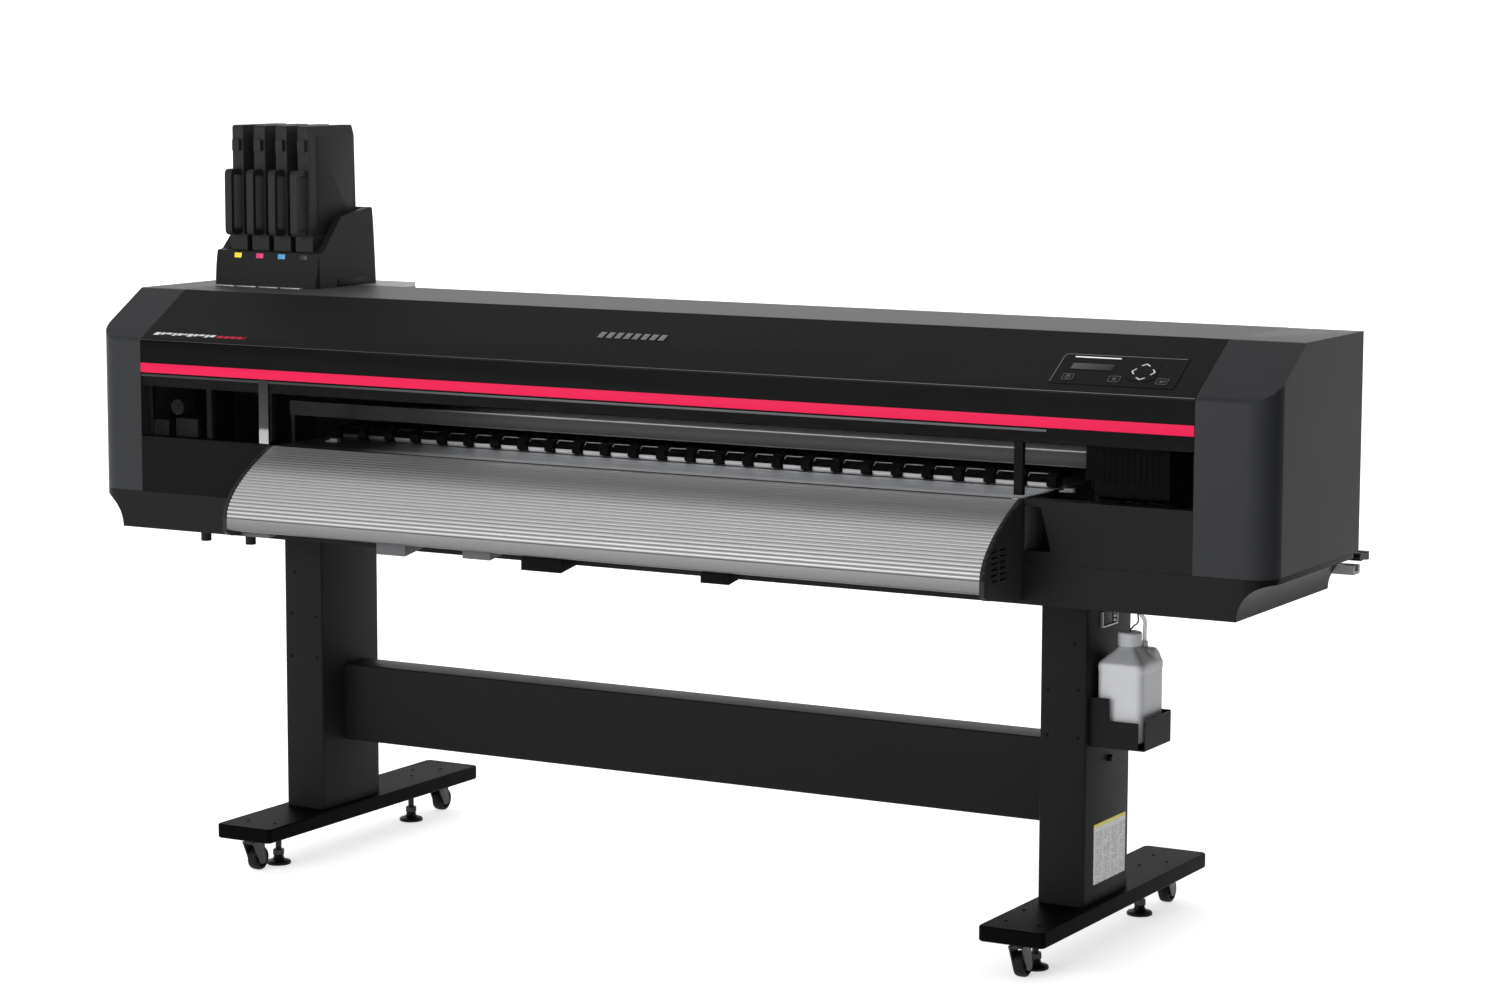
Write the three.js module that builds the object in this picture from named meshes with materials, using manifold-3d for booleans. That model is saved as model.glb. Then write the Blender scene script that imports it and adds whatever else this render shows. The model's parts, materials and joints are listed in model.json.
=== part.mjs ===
// Wide-format printer cutter on a two-legged stand, in millimetres, +Z up.
// X runs along the print width, Y from the front (negative) to the back.
// The lengths below are taken in the machine frame, whose Y = 0 is the middle of the body and whose
// X = 0 is midway between the legs; the root group shifts them so that the origin is the middle of
// the footprint, on the floor.
import * as THREE from "three";
import { mergeVertices } from "three/addons/utils/BufferGeometryUtils.js";
import Module from "manifold-3d";

const wasm = await Module();
wasm.setup();

// ---------------------------------------------------------------- driving dimensions
const gap = 0.3; // left between pieces that touch
const sheet = 3; // wall of the panels and steel tubes

const body = {
  left: -1316,
  right: 1349,
  frontY: -230,
  rearY: 230,
  skirtRearY: 238,
  skirtBottomZ: 699,
  skirtTopZ: 777.5,
  coveWidth: 65,
  coveHeight: 68,
  foldZ: 1100, // the front face meets the slope here
  slopeTopY: -72,
  topZ: 1196,
  capInnerX: 1197.8,
  cornerRadius: 52,
};
const slopeAngle = Math.atan2(body.topZ - body.foldZ, body.slopeTopY - body.frontY);

const cover = { halfWidth: 1197.3, bottomZ: 1030.3, flangeZ: 1002, windowBottomZ: 901 };
const platen = { left: -851.7, right: 849.7, topZ: 895.5, depthZ: 40 };
const apron = { left: -852, right: 850, lipY: -393.5, lipZ: 738, ribCount: 25, ribHeight: 1.6, capWidth: 10 };
const lowerPanel = { left: -862.3, right: 860.3, topZ: 895.7 };
const roller = { y: -60, feedRadius: 12, pinchRadius: 8, pinchWidth: 42, count: 25, pitch: 66, middleX: 20 };
const armWidth = 20;
const pinchShaft = { y: -5, z: 922, radius: 6 };
const beam = { halfLength: 1185, frontY: -30, rearY: 60, bottomZ: 1015, topZ: 1090 };
const belt = { y: 24, z: 1093, height: 10, innerRadius: 14, pulleyX: 1162, thickness: 2 };
const head = { centreX: 1060, width: 150, bottomZ: 903 };

const dock = {
  left: -1238,
  right: -960,
  frontY: 78,
  rearY: 306,
  bottomZ: 1196.3,
  frontTopZ: 1271,
  bayWidth: 47,
};
const cartridge = { firstX: -1184, pitch: 58, bottomZ: 1216, topZ: 1543, frontY: 101, rearY: 278 };

const leg = { x: 883.5, width: 96.2, frontY: -92, rearY: 115 };
const footBeam = { width: 137, frontY: -315, rearY: 472, bottomZ: 71, topZ: 101, cornerRadius: 12 };
const crossBeam = { frontY: -13, rearY: 70, bottomZ: 240.7, topZ: 405.4 };
const caster = {
  x: 885,
  frontY: -278,
  rearY: 409,
  trail: 18,
  wheelRadius: 25,
  wheelWidth: 22,
  axleRadius: 4,
};
const levelling = {
  x: 880,
  frontY: -195,
  rearY: 298,
  padRadius: 26,
  padHeight: 14,
  stemRadius: 7,
  stemTopZ: 84,
};
const bottle = { left: 938, right: 1033, frontY: -66, rearY: 46, bottomZ: 420, shoulderZ: 563, neckZ: 606 };
const neck = { x: 984, y: -12, radius: 20 };
const hosePort = { x: 1002, y: 16, z: 606, radius: 6.5 };
const [hoseHoleX, hoseHoleY] = [988, 10];
const rollRail = { left: -1290, right: 1335, frontY: 238.4, rearY: 272, bottomZ: 728, topZ: 746 };
const holder = { x: 870, hubY: 345, hubZ: 830, hubRadius: 37 };
const dockShelf = { right: -836, rearY: 368, bottomZ: 1182 };
const inletOpening = { x0: 1078, x1: 1130, z0: 802, z1: 832 };

// Controls are laid out on the slope: x as on the machine, s up the slope from the fold.
const panel = { left: 895, right: 1147, low: 23, high: 118, proud: 1.2, depth: 14 };
const key = { width: 24, height: 19, s: 43, proud: 2, foot: -2.6, floor: -3.8 };
const keys = [["key_power", 930], ["key_cancel", 1023], ["key_enter", 1118]];
const pad = { x: 1071.5, s: 69, radius: 28 };

const machineShiftX = -(body.left + body.right) / 2;
const machineShiftY = -(footBeam.rearY + apron.lipY - 0.5) / 2;

// ---------------------------------------------------------------- shape helpers
const xAxis = new THREE.Vector3(1, 0, 0);
const yAxis = new THREE.Vector3(0, 1, 0);
const zAxis = new THREE.Vector3(0, 0, 1);

// A closed outline from corners [a, b, radius]; a corner with a radius becomes an arc.
function outline(corners, steps = 4) {
  const points = [];
  corners.forEach(([a, b, radius], index) => {
    const corner = new THREE.Vector2(a, b);
    if (!radius) {
      points.push(corner);
      return;
    }
    const before = corners.at(index - 1);
    const after = corners[(index + 1) % corners.length];
    const back = new THREE.Vector2(before[0], before[1]).sub(corner).normalize();
    const on = new THREE.Vector2(after[0], after[1]).sub(corner).normalize();
    const halfAngle = Math.acos(back.dot(on)) / 2;
    const centre = back.clone().add(on).setLength(radius / Math.sin(halfAngle)).add(corner);
    const start = back.clone().multiplyScalar(radius / Math.tan(halfAngle)).add(corner).sub(centre);
    const end = on.clone().multiplyScalar(radius / Math.tan(halfAngle)).add(corner).sub(centre);
    const turn = Math.atan2(start.cross(end), start.dot(end));
    for (let step = 0; step <= steps; step += 1) {
      points.push(start.clone().rotateAround(new THREE.Vector2(), (turn * step) / steps).add(centre));
    }
  });
  return new THREE.Shape(points);
}

function rectangle(a0, a1, b0, b1, radius = 0, steps = 4) {
  return outline([[a0, b0, radius], [a1, b0, radius], [a1, b1, radius], [a0, b1, radius]], steps);
}

function extrude(shape, depth, bevel = 0) {
  return new THREE.ExtrudeGeometry(shape, {
    depth: depth - 2 * bevel,
    bevelEnabled: bevel > 0,
    bevelThickness: bevel,
    bevelSize: bevel,
    bevelOffset: -bevel,
    bevelSegments: 1,
    curveSegments: 8,
  }).translate(0, 0, bevel);
}

// The shape's coordinates are (Y, Z).
function alongX(shape, x0, x1, bevel = 0) {
  const turn = new THREE.Matrix4().makeBasis(yAxis, zAxis, xAxis);
  return extrude(shape, x1 - x0, bevel).applyMatrix4(turn).translate(x0, 0, 0);
}

// The shape's coordinates are (X, Z).
function alongY(shape, y0, y1, bevel = 0) {
  return extrude(shape, y1 - y0, bevel).rotateX(Math.PI / 2).translate(0, y1, 0);
}

// The shape's coordinates are (X, Y).
function alongZ(shape, z0, z1, bevel = 0) {
  return extrude(shape, z1 - z0, bevel).translate(0, 0, z0);
}

function box(x0, x1, y0, y1, z0, z1) {
  const geometry = new THREE.BoxGeometry(x1 - x0, y1 - y0, z1 - z0);
  return geometry.translate((x0 + x1) / 2, (y0 + y1) / 2, (z0 + z1) / 2);
}

// Cylinders along each axis, from one end to the other.
function rodX(y, z, x0, x1, radius, sides = 16) {
  const geometry = new THREE.CylinderGeometry(radius, radius, x1 - x0, sides);
  return geometry.rotateZ(-Math.PI / 2).translate((x0 + x1) / 2, y, z);
}

function rodZ(x, y, z0, z1, radius, sides = 16) {
  const geometry = new THREE.CylinderGeometry(radius, radius, z1 - z0, sides);
  return geometry.rotateX(Math.PI / 2).translate(x, y, (z0 + z1) / 2);
}

// A body of revolution about X, from [distance along X, radius] pairs that close on themselves.
function turnedX(profile, sides = 24) {
  const points = profile.map(([x, radius]) => new THREE.Vector2(radius, x));
  return new THREE.LatheGeometry([...points, points[0]], sides).rotateZ(-Math.PI / 2);
}

function turnedZ(profile, sides = 16) {
  const points = profile.map(([z, radius]) => new THREE.Vector2(radius, z));
  return new THREE.LatheGeometry([...points, points[0]], sides).rotateX(Math.PI / 2);
}

// ---------------------------------------------------------------- joins and cuts
function toSolid(geometry) {
  const bare = new THREE.BufferGeometry();
  bare.setAttribute("position", geometry.getAttribute("position").clone());
  bare.setIndex(geometry.index);
  const merged = mergeVertices(bare, 1e-3);
  const vertProperties = new Float32Array(merged.getAttribute("position").array);
  const triVerts = new Uint32Array(merged.index.array);
  return new wasm.Manifold(new wasm.Mesh({ numProp: 3, vertProperties, triVerts }));
}

function toGeometry(solid) {
  const mesh = solid.getMesh();
  const geometry = new THREE.BufferGeometry();
  geometry.setAttribute("position", new THREE.BufferAttribute(new Float32Array(mesh.vertProperties), 3));
  geometry.setIndex(new THREE.BufferAttribute(new Uint32Array(mesh.triVerts), 1));
  return geometry;
}

function join(first, ...others) {
  return toGeometry(others.reduce((solid, other) => solid.add(toSolid(other)), toSolid(first)));
}

function cut(first, ...others) {
  return toGeometry(others.reduce((solid, other) => solid.subtract(toSolid(other)), toSolid(first)));
}

function common(first, second) {
  return toGeometry(toSolid(first).intersect(toSolid(second)));
}

function hull(first, second) {
  return toGeometry(wasm.Manifold.hull([toSolid(first), toSolid(second)]));
}

// ---------------------------------------------------------------- scene graph helpers
const finishes = {
  bodyBlack: [0x232324, 0.45, 0],
  capGrey: [0x3f4043, 0.5, 0],
  topGrey: [0x5f6062, 0.6, 0],
  innerBlack: [0x111112, 0.6, 0],
  standBlack: [0x1f1f21, 0.45, 0.2],
  silver: [0xb0b0ae, 0.4, 0.8],
  steel: [0x9a9a9a, 0.35, 0.9],
  lightGrey: [0xa8aaac, 0.5, 0.1],
  smoke: [0x2a2a2c, 0.1, 0],
  rubber: [0x18181a, 0.8, 0],
  bottleWhite: [0xb8bbbe, 0.4, 0],
  hoseClear: [0xc8ccce, 0.3, 0],
};

function addPart(group, name, geometry, finish) {
  const [color, roughness, metalness] = finishes[finish];
  const mesh = new THREE.Mesh(geometry, new THREE.MeshStandardMaterial({ color, roughness, metalness }));
  mesh.name = name;
  group.add(mesh);
}

const printer = new THREE.Group();
printer.position.set(machineShiftX, machineShiftY, 0);

const sides = [["left", -1], ["right", 1]];

// ---------------------------------------------------------------- stand
// A folded steel beam, open below, with thick pads where the casters and feet screw in.
function footBeamGeometry(x) {
  const half = footBeam.width / 2;
  const shell = alongZ(
    rectangle(x - half, x + half, footBeam.frontY, footBeam.rearY, footBeam.cornerRadius, 4),
    footBeam.bottomZ,
    footBeam.topZ,
    2.5,
  );
  const hollow = alongZ(
    rectangle(x - half + sheet, x + half - sheet, footBeam.frontY + sheet, footBeam.rearY - sheet, 9, 2),
    footBeam.bottomZ - 1,
    footBeam.topZ - sheet,
  );
  const padHalf = 26;
  const places = [levelling.frontY, levelling.rearY, caster.frontY, caster.rearY];
  const pads = places.map((y) =>
    box(x - padHalf, x + padHalf, y - padHalf, y + padHalf, footBeam.bottomZ + 1, footBeam.topZ - sheet / 2),
  );
  const casterX = Math.sign(x) * caster.x;
  const levellingX = Math.sign(x) * levelling.x;
  const holeTopZ = footBeam.topZ - 6;
  const holes = [
    rodZ(levellingX, levelling.frontY, footBeam.bottomZ - 2, holeTopZ, levelling.stemRadius + 0.5),
    rodZ(levellingX, levelling.rearY, footBeam.bottomZ - 2, holeTopZ, levelling.stemRadius + 0.5),
    rodZ(casterX, caster.frontY, footBeam.bottomZ - 2, holeTopZ, 6.5),
    rodZ(casterX, caster.rearY, footBeam.bottomZ - 2, holeTopZ, 6.5),
  ];
  return cut(join(cut(shell, hollow), ...pads), ...holes);
}

function legGeometry(x) {
  const half = leg.width / 2;
  const section = rectangle(x - half, x + half, leg.frontY, leg.rearY, 5, 3);
  section.holes.push(rectangle(x - half + sheet, x + half - sheet, leg.frontY + sheet, leg.rearY - sheet));
  return alongZ(section, footBeam.topZ + gap, body.skirtBottomZ - gap);
}

function crossBeamGeometry() {
  const section = rectangle(crossBeam.frontY, crossBeam.rearY, crossBeam.bottomZ, crossBeam.topZ, 4, 3);
  section.holes.push(
    rectangle(
      crossBeam.frontY + sheet,
      crossBeam.rearY - sheet,
      crossBeam.bottomZ + sheet,
      crossBeam.topZ - sheet,
    ),
  );
  const half = leg.x - leg.width / 2 - gap;
  return alongX(section, -half, half);
}

// Swivel plate, stem and two cheeks that trail to the back, with the axle between them.
// Local origin: swivel axis, on the floor.
function casterForkGeometry() {
  const cheekInner = caster.wheelWidth / 2 + 1;
  const cheekOuter = cheekInner + 3;
  const cheek = outline([
    [caster.trail - 11, 14, 8],
    [caster.trail + 11, 14, 8],
    [20, 64],
    [-17, 64],
  ]);
  return join(
    box(-cheekOuter, cheekOuter, -17, 20, 61, 64),
    alongX(cheek, -cheekOuter, -cheekInner),
    alongX(cheek, cheekInner, cheekOuter),
    rodZ(0, 0, 62, 70.7, 16),
    rodZ(0, 0, 68, 92, 6),
    rodX(caster.trail, caster.wheelRadius, -cheekInner - 1, cheekInner + 1, caster.axleRadius),
  );
}

function casterWheelGeometry() {
  const half = caster.wheelWidth / 2;
  const bore = caster.axleRadius + gap;
  const radius = caster.wheelRadius;
  return turnedX([
    [-half, bore],
    [-half, radius - 3],
    [-half + 2.5, radius],
    [half - 2.5, radius],
    [half, radius - 3],
    [half, bore],
  ]);
}

function levellingFootGeometry() {
  const pad = levelling.padRadius;
  const hexagon = rodZ(0, 0, 20, 32, 13, 6);
  const foot = turnedZ([
    [0, 0],
    [0, pad],
    [5, pad],
    [levelling.padHeight, pad * 0.45],
    [levelling.padHeight + 4, levelling.stemRadius],
    [levelling.stemTopZ, levelling.stemRadius],
    [levelling.stemTopZ, 0],
  ]);
  return join(foot, hexagon);
}

for (const [side, sign] of sides) {
  addPart(printer, `${side}_foot_beam`, footBeamGeometry(sign * leg.x), "standBlack");
  addPart(printer, `${side}_leg`, legGeometry(sign * leg.x), "standBlack");
  for (const [end, swivelY, footY] of [
    ["front", caster.frontY, levelling.frontY],
    ["rear", caster.rearY, levelling.rearY],
  ]) {
    const swivel = new THREE.Group();
    swivel.position.set(sign * caster.x, swivelY, 0);
    printer.add(swivel);
    addPart(swivel, `caster_fork_${end}_${side}`, casterForkGeometry(), "lightGrey");
    const axle = new THREE.Group();
    axle.position.set(0, caster.trail, caster.wheelRadius);
    swivel.add(axle);
    addPart(axle, `caster_wheel_${end}_${side}`, casterWheelGeometry(), "rubber");
    const screw = new THREE.Group();
    screw.position.set(sign * levelling.x, footY, 0);
    printer.add(screw);
    addPart(screw, `levelling_foot_${end}_${side}`, levellingFootGeometry(), "rubber");
  }
}
addPart(printer, "cross_beam", crossBeamGeometry(), "standBlack");

// ---------------------------------------------------------------- waste ink bottle on the right leg
const legFaceX = leg.x + leg.width / 2;

function bottleBracketGeometry() {
  const inner = legFaceX + gap;
  const outer = 1044;
  return join(
    box(inner, inner + 2, -76, 48, 411, 506),
    box(inner, outer, -76, 48, 411, 413.5),
    box(inner, 1031, -76, -73.5, 411, 463.5),
    box(inner, 971, -76, -73.5, 462, 506),
    box(outer - 2.5, outer, -70, 48, 411, 470),
    box(inner, outer, 48.1, 50.6, 411, 472),
    box(inner, outer, 46.5, 50.6, 411, 413.5),
  );
}

// A square can whose shoulder slopes up to the neck, with a hump at the back for the grip. The inset
// moves every wall inwards.
function bottleShape(inset) {
  const [x0, x1] = [bottle.left + inset, bottle.right - inset];
  const [y0, y1] = [bottle.frontY + inset, bottle.rearY - inset];
  const z = bottle.shoulderZ - inset;
  const plan = rectangle(x0, x1, y0, y1, 14 - inset, 4);
  const wall = alongZ(plan, bottle.bottomZ + inset, z, inset ? 0 : 2);
  const shoulder = hull(
    alongZ(rectangle(x0 + 2, x1 - 2, y0 + 2, y1 - 2, 12 - inset, 4), z - 3, z),
    rodZ(neck.x, neck.y, 597 - inset, 598 - inset, neck.radius + 4 - inset),
  );
  const hump = hull(
    alongZ(rectangle(x0 + 24, x1 - 2, neck.y + 20, y1 - 2, 12 - inset, 4), z - 3, z),
    alongZ(rectangle(x0 + 36, x1 - 14, neck.y + 28, y1 - 9, 8 - inset, 4), 593 - inset, 595 - inset),
  );
  const port = rodZ(hosePort.x, hosePort.y, 580 - inset, hosePort.z + inset, hosePort.radius - inset / 2);
  return [wall, shoulder, hump, rodZ(neck.x, neck.y, 590, bottle.neckZ + inset, neck.radius - inset), port];
}

function wasteBottleGeometry() {
  return cut(join(...bottleShape(0)), join(...bottleShape(2)));
}

function bottleCapGeometry() {
  return cut(
    rodZ(neck.x, neck.y, bottle.neckZ - 6, bottle.neckZ + 21, neck.radius + 3, 24),
    rodZ(neck.x, neck.y, bottle.neckZ - 7, bottle.neckZ + gap, neck.radius + 0.6, 24),
    rodZ(neck.x, neck.y, bottle.neckZ - 1, bottle.neckZ + 22, 3.5, 12),
  );
}

function tube(points, radius, steps, curveSegments) {
  const route = new THREE.CatmullRomCurve3(points.map(([x, y, z]) => new THREE.Vector3(x, y, z)));
  const section = new THREE.Shape().absarc(0, 0, radius, 0, 2 * Math.PI);
  return new THREE.ExtrudeGeometry(section, { extrudePath: route, steps, curveSegments });
}

// The hose runs from the hole under the body into the port behind the cap.
function drainHoseGeometry() {
  const { x, y, z } = hosePort;
  return tube([
    [hoseHoleX - 5, hoseHoleY, body.skirtBottomZ + 1.5],
    [hoseHoleX - 2, hoseHoleY, 672],
    [x - 1, y + 1, 646],
    [x, y, 628],
    [x, y, z + 6],
    [x, y, z - 8],
  ], 4, 14, 5);
}

// The thin cable of the level switch leaves the same hole and goes through the middle of the cap.
function sensorCableGeometry() {
  return tube([
    [hoseHoleX + 7, hoseHoleY - 4, body.skirtBottomZ + 1.5],
    [hoseHoleX + 5, hoseHoleY - 8, 668],
    [hoseHoleX + 8, hoseHoleY - 12, 645],
    [hoseHoleX + 1, hoseHoleY - 18, 637],
    [neck.x + 4, neck.y + 2, 634],
    [neck.x, neck.y, 629],
    [neck.x, neck.y, bottle.neckZ + 8],
  ], 1.6, 24, 3);
}

addPart(printer, "bottle_bracket", bottleBracketGeometry(), "standBlack");
addPart(printer, "waste_bottle", wasteBottleGeometry(), "bottleWhite");
addPart(printer, "bottle_cap", bottleCapGeometry(), "bottleWhite");
addPart(printer, "drain_hose", drainHoseGeometry(), "hoseClear");
addPart(printer, "sensor_cable", sensorCableGeometry(), "rubber");

// ---------------------------------------------------------------- body shells
// Front-to-back section with a coved underside at both ends, seen from the front.
function skirtSection(inset) {
  const left = body.left + inset;
  const right = body.right - inset;
  const coveX = body.coveWidth;
  const coveZ = body.coveHeight;
  const bottom = body.skirtBottomZ + inset;
  const top = body.skirtTopZ + (inset ? 1 : 0);
  const shape = new THREE.Shape();
  shape.moveTo(left + coveX, bottom);
  shape.lineTo(right - coveX, bottom);
  shape.absellipse(right, bottom, coveX, coveZ, Math.PI, Math.PI / 2, true);
  shape.lineTo(right, top);
  shape.lineTo(left, top);
  shape.absellipse(left, bottom, coveX, coveZ, Math.PI / 2, 0, true);
  return shape;
}

function skirtPlan(inset) {
  const rearY = body.skirtRearY - inset;
  return rectangle(
    body.left + inset,
    body.right - inset,
    body.frontY + inset,
    rearY,
    body.cornerRadius - inset,
    6,
  );
}

function baseTrayGeometry() {
  const outer = common(
    alongY(skirtSection(0), body.frontY - 1, body.skirtRearY + 1),
    alongZ(skirtPlan(0), body.skirtBottomZ, body.skirtTopZ),
  );
  const inner = common(
    alongY(skirtSection(sheet), body.frontY - 1, body.skirtRearY + 1),
    alongZ(skirtPlan(sheet), body.skirtBottomZ, body.skirtTopZ + 1),
  );
  const hoseHole = rodZ(hoseHoleX, hoseHoleY, body.skirtBottomZ - 1, body.skirtBottomZ + 6, 14);
  const pegs = [-1050, -934].map((x) => rodZ(x, -205, body.skirtBottomZ - 20, body.skirtBottomZ + 1, 11, 20));
  return join(cut(outer, inner, hoseHole), ...pegs);
}

// Height of the slope, moved inwards by the inset, at a distance y from the back.
function slopeZ(y, inset) {
  return body.foldZ + (y - body.frontY) * Math.tan(slopeAngle) - inset / Math.cos(slopeAngle);
}

function slopeY(z, inset) {
  return body.frontY + (z - body.foldZ + inset / Math.cos(slopeAngle)) / Math.tan(slopeAngle);
}

function endCapSolid(sign, inset) {
  const outer = (sign < 0 ? body.left : body.right) - sign * inset;
  const [front, rear, top] = [body.frontY + inset, body.rearY - inset, body.topZ - inset];
  const bottom = body.skirtTopZ + gap - (inset ? 1 : 0);
  const plan = outline([
    [sign * (body.capInnerX + inset), front],
    [outer, front, body.cornerRadius - inset],
    [outer, rear, 8 - inset],
    [sign * (body.capInnerX + inset), rear],
  ], 8);
  const section = outline([
    [front, bottom],
    [front, slopeZ(front, inset), 14],
    [slopeY(top, inset), top, 14],
    [rear, top, 5],
    [rear, bottom],
  ], 4);
  return common(alongZ(plan, bottom, top), alongX(section, body.left - 1, body.right + 1));
}

for (const [side, sign] of sides) {
  const shell = cut(endCapSolid(sign, 0), endCapSolid(sign, sheet));
  addPart(printer, `${side}_end_cap`, shell, "capGrey");
}
addPart(printer, "base_tray", baseTrayGeometry(), "bodyBlack");

function topPanelGeometry() {
  const x = cover.halfWidth;
  const front = body.slopeTopY + gap;
  return join(
    box(-x, x, front, body.rearY, body.topZ - sheet, body.topZ),
    box(-x, x, front + sheet, front + 2 * sheet, body.topZ - 26, body.topZ - 1),
  );
}

// A plain back with a slot for the sheet, a mains socket in its right end and a shelf that carries
// the overhanging back of the ink dock.
function rearPanelGeometry() {
  const x = cover.halfWidth;
  const inner = body.rearY - sheet;
  const { x0, x1, z0, z1 } = inletOpening;
  const shelf = (frontY) =>
    outline([
      [-1190, frontY],
      [dockShelf.right, frontY],
      [dockShelf.right, 268],
      [-904, dockShelf.rearY],
      [-1190, dockShelf.rearY],
    ]);
  return cut(
    join(
      box(-x, x, inner, body.rearY, body.skirtTopZ + gap, body.topZ - sheet - gap),
      box(x0, x1, body.rearY - 28, body.rearY, z0, z1),
      box(x0 - 4, x1 + 4, body.rearY - 1, body.rearY + 2.5, z0 - 4, z1 + 4),
      alongZ(shelf(body.rearY - 1), dockShelf.bottomZ, body.topZ - sheet - gap),
      alongZ(shelf(body.rearY + gap), body.topZ - 6, body.topZ),
    ),
    box(-858, 858, inner - 1, body.rearY + 1, 892, 926),
    box(x0 + 9, x1 - 15, body.rearY - 18, body.rearY + 4, z0 + 5, z1 - 5),
  );
}

addPart(printer, "top_panel", topPanelGeometry(), "topGrey");
addPart(printer, "rear_panel", rearPanelGeometry(), "bodyBlack");

// Front panel beside the apron: a face and a short shelf under the window.
function lowerPanelGeometry(x0, x1) {
  const bottom = body.skirtTopZ + gap;
  return join(
    box(x0, x1, body.frontY, body.frontY + sheet, bottom, lowerPanel.topZ),
    box(x0, x1, body.frontY, body.frontY + 33, lowerPanel.topZ - sheet, lowerPanel.topZ),
  );
}

// The right panel has a hand recess against the apron, wider at its foot.
function lowerRightPanelGeometry() {
  const recess = (margin) =>
    outline([
      [lowerPanel.right + 3 - margin, 800 - margin],
      [917.5 + margin, 800 - margin, 4],
      [895.6 + margin, 882 + margin, 4],
      [lowerPanel.right + 3 - margin, 884 + margin],
    ]);
  const bodyShape = join(
    lowerPanelGeometry(lowerPanel.right, cover.halfWidth),
    alongY(recess(2.5), body.frontY + 1, -147),
  );
  return cut(bodyShape, alongY(recess(0), body.frontY - 1, -150));
}

addPart(printer, "lower_left_panel", lowerPanelGeometry(-cover.halfWidth, lowerPanel.left), "bodyBlack");
addPart(printer, "lower_right_panel", lowerRightPanelGeometry(), "bodyBlack");

// ---------------------------------------------------------------- front cover, window and keys
function frontCoverGeometry() {
  const hingeGap = 0.4;
  const rearY = body.slopeTopY - hingeGap;
  const inner = body.frontY + sheet;
  const skin = alongX(
    outline([
      [body.frontY, cover.bottomZ],
      [body.frontY, body.foldZ, 6],
      [rearY, slopeZ(rearY, 0)],
      [rearY, slopeZ(rearY, sheet)],
      [inner, slopeZ(inner, sheet), 3],
      [inner, cover.bottomZ],
    ]),
    -cover.halfWidth,
    cover.halfWidth,
  );
  const flange = box(-cover.halfWidth, cover.halfWidth, inner, inner + sheet, cover.flangeZ, 1050);
  const gusset = outline([
    [inner, cover.bottomZ],
    [inner, slopeZ(inner, 1)],
    [rearY - 4, slopeZ(rearY - 4, 1)],
    [rearY - 4, 1170],
    [-205, 1080],
    [-205, cover.bottomZ],
  ]);
  const gussets = [-cover.halfWidth, cover.halfWidth - sheet].map((x) => alongX(gusset, x, x + sheet));
  const posts = [[-881, -858], [838, 856]].map(([x0, x1]) =>
    box(x0, x1, inner + 0.1, inner + 12, cover.windowBottomZ + 1, cover.flangeZ + 4),
  );
  const whole = join(skin, flange, ...gussets, ...posts);
  return cut(whole, turnedOntoSlope(panelBlock(gap, -20, 6)));
}

function panelBlock(margin, n0, n1) {
  return alongZ(
    rectangle(panel.left - margin, panel.right + margin, panel.low - margin, panel.high + margin, 5, 3),
    n0,
    n1,
  );
}

function turnedOntoSlope(geometry) {
  return geometry.rotateX(slopeAngle).translate(0, body.frontY, body.foldZ);
}

function keyShape(x, margin) {
  const halfWidth = key.width / 2 + margin;
  const halfHeight = key.height / 2 + margin;
  return rectangle(x - halfWidth, x + halfWidth, key.s - halfHeight, key.s + halfHeight, 2.5, 3);
}

function padShape(margin) {
  const reach = pad.radius + margin;
  return rectangle(pad.x - reach, pad.x + reach, pad.s - reach, pad.s + reach, 14, 5);
}

function controlPanelGeometry() {
  const wells = keys.map(([, x]) => alongZ(keyShape(x, 0.5), key.floor, 5));
  const padWell = alongZ(padShape(0.5), key.floor, 5);
  return cut(panelBlock(0, -panel.depth, panel.proud), ...wells, padWell);
}

addPart(printer, "front_cover", frontCoverGeometry(), "bodyBlack");
const window = box(
  -cover.halfWidth + 0.4,
  cover.halfWidth - 0.4,
  body.frontY,
  body.frontY + sheet - gap,
  cover.windowBottomZ,
  cover.bottomZ - gap,
);
addPart(printer, "cover_window", window, "smoke");

const slope = new THREE.Group();
slope.position.set(0, body.frontY, body.foldZ);
slope.rotation.x = slopeAngle;
printer.add(slope);
addPart(slope, "control_panel", controlPanelGeometry(), "innerBlack");
for (const [name, x] of keys) {
  addPart(slope, name, alongZ(keyShape(x, 0), key.foot, key.proud, 0.6), "capGrey");
}
addPart(slope, "arrow_pad", alongZ(padShape(0), key.foot, key.proud, 0.6), "innerBlack");

// ---------------------------------------------------------------- apron
// The curve runs from the platen edge, down and forward to an upright lip.
const apronCurve = new THREE.CubicBezierCurve(
  new THREE.Vector2(body.frontY - 2.2, 895),
  new THREE.Vector2(-300, 868),
  new THREE.Vector2(apron.lipY, 812),
  new THREE.Vector2(apron.lipY, 762),
);

// A point on the curve at a share of its length, moved out from it.
function apronPoint(share, offset) {
  const point = apronCurve.getPointAt(share);
  const tangent = apronCurve.getTangentAt(share);
  return new THREE.Vector2(point.x + tangent.y * offset, point.y - tangent.x * offset);
}

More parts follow.
